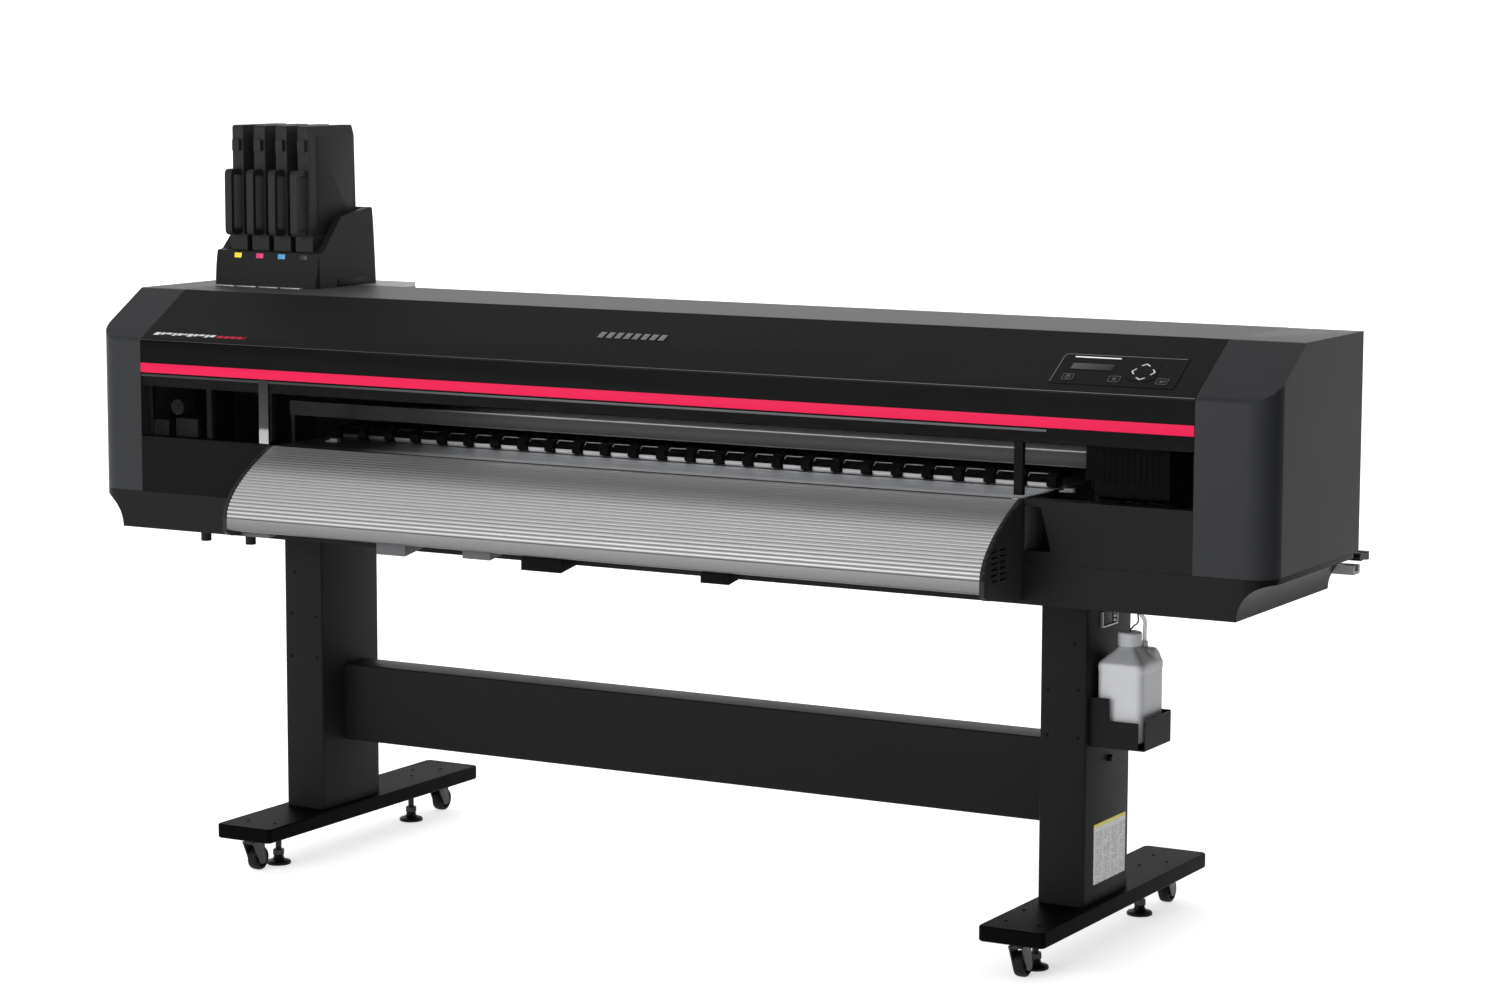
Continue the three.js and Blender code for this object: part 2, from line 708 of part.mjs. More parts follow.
function apronGeometry() {
  const points = [];
  for (let rib = 0; rib < apron.ribCount; rib += 1) {
    const start = rib / apron.ribCount;
    const pitch = 1 / apron.ribCount;
    const crestEnd = start + 0.55 * pitch;
    points.push(apronPoint(start, 0), apronPoint(crestEnd, 0));
    points.push(apronPoint(crestEnd, -apron.ribHeight), apronPoint(start + pitch, -apron.ribHeight));
  }
  points.push(apronPoint(1, 0), new THREE.Vector2(apron.lipY, apron.lipZ));
  points.push(new THREE.Vector2(apron.lipY + 12, apron.lipZ - 3));
  points.push(new THREE.Vector2(apron.lipY + 12, apron.lipZ));
  points.push(new THREE.Vector2(apron.lipY + 5, apron.lipZ + 4));
  for (let step = 12; step >= 0; step -= 1) {
    points.push(apronPoint(step / 12, -5));
  }
  const web = box(apron.left, apron.right, body.frontY - 4, body.frontY - gap, 722, 890);
  return join(alongX(new THREE.Shape(points), apron.left, apron.right), web);
}

function apronEndGeometry(x0) {
  const points = [];
  for (let step = 0; step <= 12; step += 1) {
    points.push(apronPoint(step / 12, 0.4));
  }
  points.push(new THREE.Vector2(apron.lipY - 0.5, 732));
  points.push(new THREE.Vector2(-378, 724), new THREE.Vector2(body.frontY - gap, 706));
  points[0].x = body.frontY - gap;
  const plate = alongX(new THREE.Shape(points), x0, x0 + apron.capWidth - gap);
  const slots = [];
  for (let row = 0; row < 6; row += 1) {
    for (const y of [-351, -315]) {
      const z = 755 + row * 11;
      slots.push(box(x0 - 1, x0 + apron.capWidth + 1, y - 12.5, y + 12.5, z, z + 3.6));
    }
  }
  return cut(plate, ...slots);
}

addPart(printer, "apron", apronGeometry(), "silver");
addPart(printer, "apron_end_left", apronEndGeometry(apron.left - apron.capWidth), "bodyBlack");
addPart(printer, "apron_end_right", apronEndGeometry(apron.right + gap), "bodyBlack");

// ---------------------------------------------------------------- platen and rollers
function platenGeometry() {
  const bottom = platen.topZ - platen.depthZ;
  const [front, rear] = [body.frontY + 0.8, body.rearY - sheet - gap];
  const section = rectangle(front, rear, bottom, platen.topZ);
  section.holes.push(rectangle(front + sheet, rear - sheet, bottom + sheet, platen.topZ - sheet));
  const tube = alongX(section, platen.left, platen.right);
  const slot = box(-839, 839, roller.y - 9.5, roller.y + 9.5, platen.topZ - 10, platen.topZ + 1);
  const floorZ = body.skirtBottomZ + sheet + gap;
  const supports = [-700, 0, 700].map((x) => box(x - 20, x + 20, -150, 150, floorZ, bottom + 1));
  return join(cut(tube, slot), ...supports);
}

const feedRollerZ = platen.topZ + 0.4 - roller.feedRadius;
const pinchRollerZ = platen.topZ + 0.7 + roller.pinchRadius;

function rollerX(index) {
  return roller.middleX + (index - (roller.count - 1) / 2) * roller.pitch;
}

function pinchRollersGeometry() {
  const rings = [];
  for (let index = 0; index < roller.count; index += 1) {
    const x = rollerX(index);
    const half = roller.pinchWidth / 2;
    rings.push(rodX(roller.y, pinchRollerZ, x - half, x + half, roller.pinchRadius, 10));
  }
  const reach = (roller.count / 2) * roller.pitch + armWidth / 2 - 3;
  const axle = rodX(roller.y, pinchRollerZ, roller.middleX - reach, roller.middleX + reach, 2, 6);
  return join(axle, ...rings);
}

// Between the rollers, arms reach forward from a shaft and hook down over the rollers' axle. A sloping
// plate joins the arms above the rollers.
function pinchArmBarGeometry() {
  const { y, z } = pinchShaft;
  const [axleY, axleZ] = [roller.y, pinchRollerZ];
  const arm = outline([
    [y + 8, z - 7],
    [y + 8, z + 7],
    [axleY - 8, z + 3],
    [axleY - 16, z - 5],
    [axleY - 16, axleZ - 2],
    [axleY - 9, axleZ - 5],
    [axleY - 2.5, axleZ - 5],
    [axleY - 2.5, axleZ + 2.5],
    [axleY + 2.5, axleZ + 2.5],
    [axleY + 2.5, axleZ - 5],
    [axleY + 9, axleZ - 5],
    [axleY + 16, axleZ + 9],
  ]);
  const plate = outline([
    [axleY - 10.5, axleZ + 3],
    [axleY + 6, axleZ + 16],
    [axleY + 4.8, axleZ + 17.6],
    [axleY - 11.7, axleZ + 4.6],
  ]);
  const arms = [];
  for (let index = 0; index <= roller.count; index += 1) {
    const x = rollerX(index) - roller.pitch / 2;
    arms.push(alongX(arm, x - armWidth / 2, x + armWidth / 2));
  }
  const reach = (roller.count / 2) * roller.pitch;
  const [left, right] = [roller.middleX - reach, roller.middleX + reach];
  return join(rodX(y, z, left - 10, right + 10, pinchShaft.radius, 8), alongX(plate, left, right), ...arms);
}

function pinchBeamGeometry() {
  const section = rectangle(-60, 25, 938, 970);
  section.holes.push(rectangle(-60 + sheet, 25 - sheet, 938 + sheet, 970 - sheet));
  const floorZ = body.skirtBottomZ + sheet + gap;
  return join(
    alongX(section, -936, 936),
    box(-936, -926, -55, 20, floorZ, 940),
    box(926, 936, -55, 20, floorZ, 940),
  );
}

addPart(printer, "platen", platenGeometry(), "lightGrey");
addPart(printer, "feed_roller", rodX(roller.y, feedRollerZ, -838, 838, roller.feedRadius, 24), "steel");
addPart(printer, "pinch_rollers", pinchRollersGeometry(), "rubber");
addPart(printer, "pinch_arm_bar", pinchArmBarGeometry(), "innerBlack");
addPart(printer, "pinch_beam", pinchBeamGeometry(), "innerBlack");

// ---------------------------------------------------------------- rail, carriage and belt
function railBeamGeometry() {
  const { halfLength, frontY, rearY, bottomZ, topZ } = beam;
  const wall = 4;
  const end = halfLength - wall;
  const floorZ = body.skirtBottomZ + sheet + gap;
  const frames = [-halfLength, end].map((x) => box(x, x + wall, frontY - 30, rearY + 10, floorZ, topZ + 20));
  const whole = join(
    box(-end - 1, end + 1, frontY, rearY, bottomZ, topZ),
    box(-end - 1, end + 1, frontY - 8, frontY + 1, 1045, 1060),
    ...frames,
  );
  const openEnd = halfLength + 1;
  const hollow = box(-openEnd, openEnd, frontY + wall, rearY - wall, bottomZ + wall, topZ - wall);
  return cut(whole, hollow);
}

function carriageGeometry() {
  const railY = beam.frontY - 8 - 0.6;
  const x0 = head.centreX - head.width / 2;
  const section = outline([
    [-190, head.bottomZ, 4],
    [-84, head.bottomZ],
    [-84, 978],
    [railY, 978],
    [railY, beam.topZ + 0.6],
    [-8, beam.topZ + 0.6],
    [-8, beam.topZ + 12],
    [-60, beam.topZ + 12, 6],
    [-190, 1040, 8],
  ]);
  return alongX(section, x0, x0 + head.width);
}

function cutterHolderGeometry() {
  const x = head.centreX - head.width / 2 - 16;
  return join(
    box(x - 13, x + 15.6, -165, -125, 930, 1010),
    rodZ(x, -145, 912, 1022, 9, 20),
    rodZ(x, -145, 908, 914, 3, 12),
  );
}

function driveBeltGeometry() {
  const loop = (radius) =>
    rectangle(
      -belt.pulleyX - radius,
      belt.pulleyX + radius,
      belt.y - radius,
      belt.y + radius,
      radius - 0.01,
      8,
    );
  const shape = loop(belt.innerRadius + belt.thickness);
  shape.holes.push(loop(belt.innerRadius));
  return alongZ(shape, belt.z, belt.z + belt.height);
}

function pulleyGeometry() {
  const flange = belt.innerRadius + 3;
  const rim = belt.innerRadius - 0.5;
  const base = beam.topZ + gap;
  return turnedZ([
    [base, 0],
    [base, flange],
    [belt.z - 0.5, flange],
    [belt.z - 0.5, rim],
    [belt.z + belt.height + 0.5, rim],
    [belt.z + belt.height + 0.5, flange],
    [belt.z + belt.height + 2, flange],
    [belt.z + belt.height + 2, 0],
  ]);
}

// A tray with three soft cups that seal the print heads when the carriage is parked.
function cappingStationGeometry() {
  const tray = box(head.centreX - 72, head.centreX + 72, -190, -92, 862, 894);
  const cups = [-46, 0, 46].map((offset) => {
    const x = head.centreX + offset;
    return box(x - 18, x + 18, -178, -104, 892, 898);
  });
  const wells = [-46, 0, 46].map((offset) => {
    const x = head.centreX + offset;
    return box(x - 15, x + 15, -175, -107, 888, 899);
  });
  return cut(join(tray, ...cups), ...wells);
}

addPart(printer, "rail_beam", railBeamGeometry(), "steel");
addPart(printer, "carriage", carriageGeometry(), "innerBlack");
addPart(printer, "cutter_holder", cutterHolderGeometry(), "steel");
addPart(printer, "drive_belt", driveBeltGeometry(), "rubber");
for (const [name, sign] of [["idler_pulley", -1], ["drive_pulley", 1]]) {
  const shaft = new THREE.Group();
  shaft.position.set(sign * belt.pulleyX, belt.y, 0);
  printer.add(shaft);
  addPart(shaft, name, pulleyGeometry(), "steel");
}
addPart(printer, "capping_station", cappingStationGeometry(), "lightGrey");

// ---------------------------------------------------------------- ink dock and cartridges
// The walls lean in as they rise: the plan shrinks towards the dock's middle line.
function inkDockGeometry() {
  const { left, right, frontY, rearY, bottomZ, frontTopZ } = dock;
  const middle = (left + right) / 2;
  const section = outline([
    [frontY, bottomZ],
    [frontY + 12, frontTopZ, 3],
    [frontY + 30, frontTopZ + 3, 8],
    [178, 1347, 10],
    [296, 1364, 6],
    [rearY, bottomZ],
  ], 3);
  const plan = rectangle(left, right, frontY, rearY, 12, 4);
  const block = common(alongX(section, left, right), alongZ(plan, bottomZ, 1400));
  const position = block.getAttribute("position");
  const leanPerMillimetre = 0.045 / 139;
  for (let index = 0; index < position.count; index += 1) {
    const shrink = 1 - leanPerMillimetre * (position.getZ(index) - bottomZ);
    position.setX(index, middle + (position.getX(index) - middle) * shrink);
  }
  const bays = [0, 1, 2, 3].map((index) => {
    const x = cartridge.firstX + index * cartridge.pitch;
    const half = dock.bayWidth / 2;
    const bottom = cartridge.bottomZ - gap;
    return box(x - half, x + half, cartridge.frontY - 0.6, cartridge.rearY + 4, bottom, 1400);
  });
  const well = box(left + 22, right - 22, cartridge.frontY - 0.6, cartridge.rearY + 4, 1262, 1400);
  return cut(block, ...bays, well);
}

// A flat ink case with a wide foot, a pull loop on its front edge and a latch tab near its top.
function cartridgeGeometry(x) {
  const { frontY, rearY, bottomZ, topZ } = cartridge;
  const caseSection = outline([
    [frontY, 1300],
    [frontY, topZ, 6],
    [rearY - 18, topZ, 3],
    [rearY - 9, topZ - 20],
    [rearY - 2, 1300],
  ], 3);
  const loop = rectangle(frontY - 37, frontY + 2, 1306, 1449, 12, 4);
  loop.holes.push(rectangle(frontY - 27, frontY - 1, 1318, 1437, 7, 3));
  return join(
    alongX(caseSection, x - 15, x + 15, 1),
    box(x - 22.5, x + 22.5, frontY, rearY, bottomZ, 1306),
    alongX(loop, x - 9, x + 9),
    box(x - 9, x + 9, frontY - 9, frontY + 1, 1488, 1512),
  );
}

addPart(printer, "ink_dock", inkDockGeometry(), "bodyBlack");
["yellow", "magenta", "cyan", "black"].forEach((ink, index) => {
  const x = cartridge.firstX + index * cartridge.pitch;
  addPart(printer, `ink_cartridge_${ink}`, cartridgeGeometry(x), "bodyBlack");
});

// ---------------------------------------------------------------- back: lever and roll holders
function loadLeverGeometry() {
  return join(
    rodX(254, 762, 1300, 1344, 8, 20),
    box(1318, 1344, 250, 290, 755, 767),
    box(1300, 1344, 284, 296, 753, 769),
  );
}

function rollRailGeometry() {
  const { left, right, frontY, rearY, bottomZ, topZ } = rollRail;
  const section = outline([
    [frontY, bottomZ],
    [rearY, bottomZ, 3],
    [rearY, topZ, 3],
    [rearY - 10, topZ],
    [rearY - 10, bottomZ + 7],
    [frontY + 8, bottomZ + 7],
    [frontY + 8, topZ],
    [frontY, topZ],
  ], 2);
  return alongX(section, left, right);
}

// A slider that rides on the rail, an arm, and a core hub with a flange that faces inwards.
function rollHolderGeometry(sign) {
  const { hubY, hubZ, hubRadius } = holder;
  const x = sign * holder.x;
  const [low, high] = [x - 14, x + 14];
  const hubEnds = [x - sign * 50, x].sort((a, b) => a - b);
  return join(
    box(low, high, rollRail.rearY + gap, hubY + 12, rollRail.bottomZ - 6, rollRail.topZ + 8),
    box(low, high, rollRail.rearY - 9, rollRail.rearY + 4, rollRail.topZ + gap, rollRail.topZ + 8),
    box(x - 5, x + 5, hubY - 20, hubY + 12, rollRail.topZ, hubZ + 10),
    rodX(hubY, hubZ, x - 8, x + 8, 58, 24),
    rodX(hubY, hubZ, ...hubEnds, hubRadius, 24),
  );
}

addPart(printer, "load_lever", loadLeverGeometry(), "innerBlack");
addPart(printer, "roll_rail", rollRailGeometry(), "lightGrey");
addPart(printer, "roll_holder_left", rollHolderGeometry(-1), "innerBlack");
addPart(printer, "roll_holder_right", rollHolderGeometry(1), "innerBlack");

export default printer;
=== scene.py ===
"""Wide-format printer cutter: the looks of the machine, built piece by piece around its CAD frame."""
import json
import math

import bmesh
import bpy
import numpy as np
from mathutils import Matrix, Vector

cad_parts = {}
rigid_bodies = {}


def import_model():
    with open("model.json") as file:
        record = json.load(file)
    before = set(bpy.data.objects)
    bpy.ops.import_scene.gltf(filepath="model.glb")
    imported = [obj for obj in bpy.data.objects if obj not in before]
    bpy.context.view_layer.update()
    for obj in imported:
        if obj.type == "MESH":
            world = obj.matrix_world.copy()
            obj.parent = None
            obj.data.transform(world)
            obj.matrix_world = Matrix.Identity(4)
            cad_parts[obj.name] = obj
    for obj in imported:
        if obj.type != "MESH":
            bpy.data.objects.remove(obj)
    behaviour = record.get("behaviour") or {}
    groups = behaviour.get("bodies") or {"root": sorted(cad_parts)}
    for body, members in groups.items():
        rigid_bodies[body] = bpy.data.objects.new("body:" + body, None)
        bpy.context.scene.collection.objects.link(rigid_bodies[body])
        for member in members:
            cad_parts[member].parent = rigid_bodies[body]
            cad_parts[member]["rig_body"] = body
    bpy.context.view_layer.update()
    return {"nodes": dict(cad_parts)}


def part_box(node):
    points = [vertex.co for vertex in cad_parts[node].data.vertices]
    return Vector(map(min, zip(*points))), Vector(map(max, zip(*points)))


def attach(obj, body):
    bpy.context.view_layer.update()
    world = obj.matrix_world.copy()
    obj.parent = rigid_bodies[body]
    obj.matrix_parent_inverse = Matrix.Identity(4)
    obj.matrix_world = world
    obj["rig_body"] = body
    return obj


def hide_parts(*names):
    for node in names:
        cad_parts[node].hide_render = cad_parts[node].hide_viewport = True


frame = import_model()
scene = bpy.context.scene
mm = 0.001

# ------------------------------------------------------------------ camera, floor and light
# A standing person's view from the front right, through a long lens. The room is a pale sweep
# of floor that curves up into a wall, lit by large soft lamps.
camera_place = (3.7527, -6.4894, 1.7815)
camera_yaw = 0.5112
camera_pitch = -0.1291
camera_roll = 0.0029
camera_lens = 89.566

camera = bpy.data.objects.new("camera", bpy.data.cameras.new("camera"))
camera.data.lens = camera_lens
camera.data.sensor_width = 36.0
camera.data.clip_end = 200.0
aim = Matrix.Rotation(camera_yaw, 4, "Z") @ Matrix.Rotation(math.pi / 2 + camera_pitch, 4, "X")
camera.matrix_world = Matrix.Translation(camera_place) @ aim @ Matrix.Rotation(camera_roll, 4, "Z")
scene.collection.objects.link(camera)
scene.camera = camera


def put_mesh(name, points, faces, smooth_below=32.0):
    """Puts points (rows of x, y, z) and faces (rows of point numbers) into a new object at the origin.
    Points that coincide become one, so seams and poles close. A closed mesh whose faces enclose a
    negative volume is turned the right way out. Faces that meet at less than smooth_below degrees are
    shaded as one surface."""
    mesh = bpy.data.meshes.new(name)
    mesh.from_pydata(np.asarray(points, float).reshape(-1, 3).tolist(), [], faces)
    work = bmesh.new()
    work.from_mesh(mesh)
    bmesh.ops.remove_doubles(work, verts=work.verts, dist=1e-6)
    if work.calc_volume(signed=True) < 0:
        bmesh.ops.reverse_faces(work, faces=work.faces)
    work.to_mesh(mesh)
    work.free()
    mesh.shade_smooth()
    mesh.set_sharp_from_angle(angle=math.radians(smooth_below))
    obj = bpy.data.objects.new(name, mesh)
    scene.collection.objects.link(obj)
    return obj


def grid_faces(rows, columns, closed):
    """Quads between neighbouring rows of a grid of points; closed joins the last column to the first."""
    last = columns if closed else columns - 1
    row, column = np.meshgrid(np.arange(rows - 1), np.arange(last), indexing="ij")
    following = (column + 1) % columns
    corners = [row * columns + column, row * columns + following,
               (row + 1) * columns + following, (row + 1) * columns + column]
    return np.stack(corners, -1).reshape(-1, 4).tolist()


class Shade:
    """A value on its way through a material. Arithmetic with it adds Math nodes, so 1 - mask works."""

    def __init__(self, finish, socket):
        self.finish = finish
        self.socket = socket

    def _math(self, operation, *values):
        inputs = dict(enumerate(values))
        return self.finish.node("ShaderNodeMath", {"operation": operation}, inputs)

    def __add__(self, other):
        return self._math("ADD", self, other)

    def __sub__(self, other):
        return self._math("SUBTRACT", self, other)

    def __rsub__(self, other):
        return self._math("SUBTRACT", other, self)

    def __mul__(self, other):
        return self._math("MULTIPLY", self, other)

    __radd__ = __add__
    __rmul__ = __mul__

    def above(self, limit):
        return self._math("GREATER_THAN", self, limit)

    def below(self, limit):
        return self._math("LESS_THAN", self, limit)

    def fraction(self):
        return self._math("FRACT", self)

    def size(self):
        return self._math("ABSOLUTE", self)

    def near(self, place, reach):
        """1 where the value is within reach of the place, 0 elsewhere."""
        return (self - place).size().below(reach)

    def between(self, start, end):
        """0 at the start and 1 at the end of a stretch of values, and held beyond them."""
        inputs = {"Value": self, "From Min": start, "From Max": end}
        return self.finish.node("ShaderNodeMapRange", {"clamp": True}, inputs)


class Finish:
    """A surface finish: one material with its shader, and a method that adds nodes to it."""

    def __init__(self, name, colour, roughness, metallic=0.0, **constants):
        self.material = bpy.data.materials.new(name)
        self.material.use_nodes = True
        self.tree = self.material.node_tree
        self.shader = self.tree.nodes["Principled BSDF"]
        self.colour = colour
        self.set("Base Color", (*colour, 1.0))
        self.set("Roughness", roughness)
        self.set("Metallic", metallic)
        for socket, value in constants.items():
            self.set(socket.replace("_", " "), value)

    def set(self, socket, value):
        """Gives one of the shader's sockets a constant or a link."""
        if isinstance(value, Shade):
            self.tree.links.new(value.socket, self.shader.inputs[socket])
        else:
            self.shader.inputs[socket].default_value = value

    def node(self, kind, settings, inputs, output=0):
        """Adds a node: its settings first, then the values or links of its sockets."""
        node = self.tree.nodes.new(kind)
        for setting, value in settings.items():
            if setting == "stops":
                self._set_stops(node.color_ramp, value)
            else:
                setattr(node, setting, value)
        for socket, value in inputs.items():
            if isinstance(value, Shade):
                self.tree.links.new(value.socket, node.inputs[socket])
            else:
                node.inputs[socket].default_value = value
        return Shade(self, node.outputs[output])

    @staticmethod
    def _set_stops(ramp, stops):
        while len(ramp.elements) < len(stops):
            ramp.elements.new(0.5)
        for element, (place, level) in zip(ramp.elements, stops):
            element.position = place
            element.color = (level, level, level, 1.0)

    def place(self):
        """Where a point is on the piece, in metres."""
        return self.node("ShaderNodeTexCoord", {}, {}, output="Object")

    def along(self, axis):
        """The place along one axis, X, Y or Z, in metres."""
        return self.node("ShaderNodeSeparateXYZ", {}, {0: self.place()}, output=axis)

    def noise(self, scale, detail=2.0, sizes=(1.0, 1.0, 1.0), roughness=0.5):
        """Soft noise from 0 to 1, with each axis of the place multiplied by its own size first."""
        place = self.node("ShaderNodeVectorMath", {"operation": "MULTIPLY"}, {0: self.place(), 1: sizes})
        inputs = {"Vector": place, "Scale": scale, "Detail": detail, "Roughness": roughness}
        return self.node("ShaderNodeTexNoise", {}, inputs)

    def ramp(self, value, *stops):
        """A grey level that runs through (place, level) stops as the value goes from 0 to 1."""
        return self.node("ShaderNodeValToRGB", {"stops": stops}, {"Fac": value})

    def mix(self, mask, first, second):
        """Colour that goes from first to second as the mask goes from 0 to 1. A colour is three
        numbers or a link."""
        def socket_value(colour):
            return colour if isinstance(colour, Shade) else (*colour, 1.0)
        inputs = {0: mask, 6: socket_value(first), 7: socket_value(second)}
        return self.node("ShaderNodeMix", {"data_type": "RGBA"}, inputs, output=2)

    def tones(self, mask, dark, light):
        """Sets the colour from dark to light times the finish's own as the mask goes from 0 to 1."""
        shades = [tuple(channel * share for channel in self.colour) for share in (dark, light)]
        self.set("Base Color", self.mix(mask, *shades))

    def bump(self, height, distance, strength=1.0):
        """Raises the surface by height times distance, in metres."""
        inputs = {"Height": height, "Distance": distance, "Strength": strength}
        self.set("Normal", self.node("ShaderNodeBump", {}, inputs))


def rgb(red, green, blue):
    """A colour as seen on a screen, 0 to 255, turned to the linear light that shaders use."""
    share = np.array([red, green, blue]) / 255
    linear = np.where(share <= 0.04045, share / 12.92, ((share + 0.055) / 1.055) ** 2.4)
    return tuple(float(x) for x in linear)


def studio_floor():
    """A flat floor that turns up into a wall: a straight line, a quarter circle and a straight line."""
    front, bend, radius, height, half_width = -60.0, 16.0, 8.0, 30.0, 60.0
    turn = np.linspace(0, math.pi / 2, 24)
    arc = np.stack([bend + radius * np.sin(turn), radius - radius * np.cos(turn)], 1)
    profile = np.vstack([[front, 0.0], arc, [bend + radius, height]])
    points = [[[x, y, z] for x in (half_width, -half_width)] for y, z in profile]
    floor = put_mesh("studio_floor", points, grid_faces(len(profile), 2, False), 60.0)
    finish = Finish("pale_floor", (0.97, 0.97, 0.97), 0.9, Specular_IOR_Level=0.1, Emission_Strength=0.6)
    finish.set("Emission Color", (1.0, 1.0, 1.0, 1.0))
    finish.tones(finish.noise(0.6), 0.99, 1.0)
    floor.data.materials.append(finish.material)


def soft_lamp(name, place, target, width, height, power):
    """A rectangular lamp at a place, turned to face a target."""
    data = bpy.data.lights.new(name, "AREA")
    data.shape = "RECTANGLE"
    data.size = width
    data.size_y = height
    data.energy = power
    lamp = bpy.data.objects.new(name, data)
    lamp.location = place
    lamp.rotation_euler = (Vector(target) - Vector(place)).to_track_quat("-Z", "Y").to_euler()
    scene.collection.objects.link(lamp)


def black_flag():
    """A matt black cloth on the right, outside the picture, that keeps the white room off that side."""
    x, front, rear, top = 3.0, -2.4, 3.2, 3.0
    corners = [[x, front, 0.0], [x, rear, 0.0], [x, rear, top], [x, front, top]]
    flag = put_mesh("black_flag", corners, [[0, 1, 2, 3]])
    cloth = Finish("flag_cloth", (0.02, 0.02, 0.02), 0.9, Specular_IOR_Level=0.05)
    cloth.tones(cloth.noise(5.0), 0.9, 1.1)
    flag.data.materials.append(cloth.material)
    flag.visible_camera = False


studio_floor()
black_flag()
soft_lamp("key_lamp", (-2.5, -7.0, 2.6), (0.0, 0.0, 0.9), 5.0, 3.0, 230.0)
soft_lamp("side_lamp", (6.5, -2.0, 3.0), (0.6, 0.0, 0.8), 3.0, 3.0, 15.0)
soft_lamp("top_lamp", (0.0, 1.0, 5.5), (0.0, 0.0, 0.9), 7.0, 3.5, 12.0)
soft_lamp("window_lamp", (0.25, -0.2, 1.028), (0.25, -0.1, 0.9), 1.4, 0.03, 0.75)
room = bpy.data.worlds.new("room")
room.use_nodes = True
room.node_tree.nodes["Background"].inputs["Color"].default_value = (1.0, 1.0, 1.0, 1.0)
room.node_tree.nodes["Background"].inputs["Strength"].default_value = 0.6
scene.world = room
scene.view_settings.view_transform = "Standard"

# ------------------------------------------------------------------ stand
# Two folded steel legs on long foot beams, tied by a box beam. Everything is powder coated in black
# with a fine orange peel, and bolted together with socket screws.
left_leg_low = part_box("left_leg")[0]
right_leg_low, right_leg_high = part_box("right_leg")
cap_low, cap_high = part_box("right_end_cap")
middle_x = (left_leg_low[0] + right_leg_high[0]) / 2
middle_y = (cap_low[1] + cap_high[1]) / 2
leg_half_width = (right_leg_high[0] - right_leg_low[0]) / 2 / mm
leg_middle = ((right_leg_low[0] + right_leg_high[0]) / 2 - middle_x) / mm
leg_front = (right_leg_low[1] - middle_y) / mm
leg_side = leg_middle + leg_half_width


def at(x, y, z):
    """A place given in millimetres from the middle of the body, on the floor, as metres in the frame."""
    x, y, z = np.broadcast_arrays(x, y, z)
    return np.stack([x * mm + middle_x, y * mm + middle_y, z * mm], -1)


def node_box(node):
    """A CAD node's (low, high) corners in millimetres from the middle of the body, on the floor."""
    shift = np.array([middle_x, middle_y, 0.0])
    return [(np.array(corner) - shift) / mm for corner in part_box(node)]


# A lay puts a shape's own (a, b, height) coordinates onto a face of the machine.
def facing_front(y):
    return lambda p: at(p[:, 0], y - p[:, 2], p[:, 1])


def facing_back(y):
    return lambda p: at(p[:, 0], y + p[:, 2], p[:, 1])


def facing_right(x):
    return lambda p: at(x + p[:, 2], p[:, 0], p[:, 1])


def facing_left(x):
    return lambda p: at(x - p[:, 2], p[:, 0], p[:, 1])


def facing_up(z):
    return lambda p: at(p[:, 0], p[:, 1], z + p[:, 2])


def sloping(y, z, angle):
    """A face that starts at y and z and rises backwards at an angle; b runs up the face."""
    across, up = math.cos(angle), math.sin(angle)
    return lambda p: at(p[:, 0], y + p[:, 1] * across - p[:, 2] * up, z + p[:, 1] * up + p[:, 2] * across)


def box_outline(a0, a1, b0, b1, radius=0.0, steps=4):
    """A rectangle, counter-clockwise, with a quarter circle of the radius at each corner."""
    if not radius:
        return np.array([[a0, b0], [a1, b0], [a1, b1], [a0, b1]], float)
    turn = np.linspace(0, math.pi / 2, steps + 1)
    arc = radius * np.stack([np.cos(turn), np.sin(turn)], 1)
    centres = [(a1 - radius, b1 - radius), (a0 + radius, b1 - radius),
               (a0 + radius, b0 + radius), (a1 - radius, b0 + radius)]
    corners = []
    for centre in centres:
        corners.append(arc + centre)
        arc = np.stack([-arc[:, 1], arc[:, 0]], 1)
    return np.vstack(corners)


def mitres(path, closed):
    """At each point of a path, the step to the left that moves both neighbouring edges by one: the sum
    of their normals over one plus their product."""
    ahead = np.roll(path, -1, 0) - path
    ahead /= np.linalg.norm(ahead, axis=1)[:, None]
    after = np.stack([-ahead[:, 1], ahead[:, 0]], 1)
    before = np.roll(after, 1, 0)
    if not closed:
        after[-1] = before[-1]
        before[0] = after[0]
    return (after + before) / (1 + (after * before).sum(1))[:, None]


def plate(outline, low, high, edge=0.0, steps=3):
    """A plate between two heights with both rims rounded by quarter circles. A ring at angle t is the
    outline moved in by edge times (1 - sin t), edge times (1 - cos t) away from the face."""
    outline = np.asarray(outline, float)
    following = np.roll(outline, -1, 0)
    if (outline[:, 0] * following[:, 1] - following[:, 0] * outline[:, 1]).sum() < 0:
        outline = outline[::-1]
    turn = np.linspace(0, math.pi / 2, steps + 1) if edge else np.array([math.pi / 2])
    inset = edge * (1 - np.sin(turn))
    height = edge * (1 - np.cos(turn))
    insets = np.concatenate([inset, inset[::-1]])
    heights = np.concatenate([low + height, (high - height)[::-1]])
    rings = outline[None] + insets[:, None, None] * mitres(outline, True)[None]
    return lofted([np.column_stack([ring, np.full(len(ring), h)]) for ring, h in zip(rings, heights)])


def lofted(rings):
    """A closed skin through rings with the same number of points, with a flat face at each end."""
    count = len(rings[0])
    points = np.vstack(rings)
    ends = [list(range(count))[::-1], list(range(len(points) - count, len(points)))]
    return points, grid_faces(len(rings), count, True) + ends


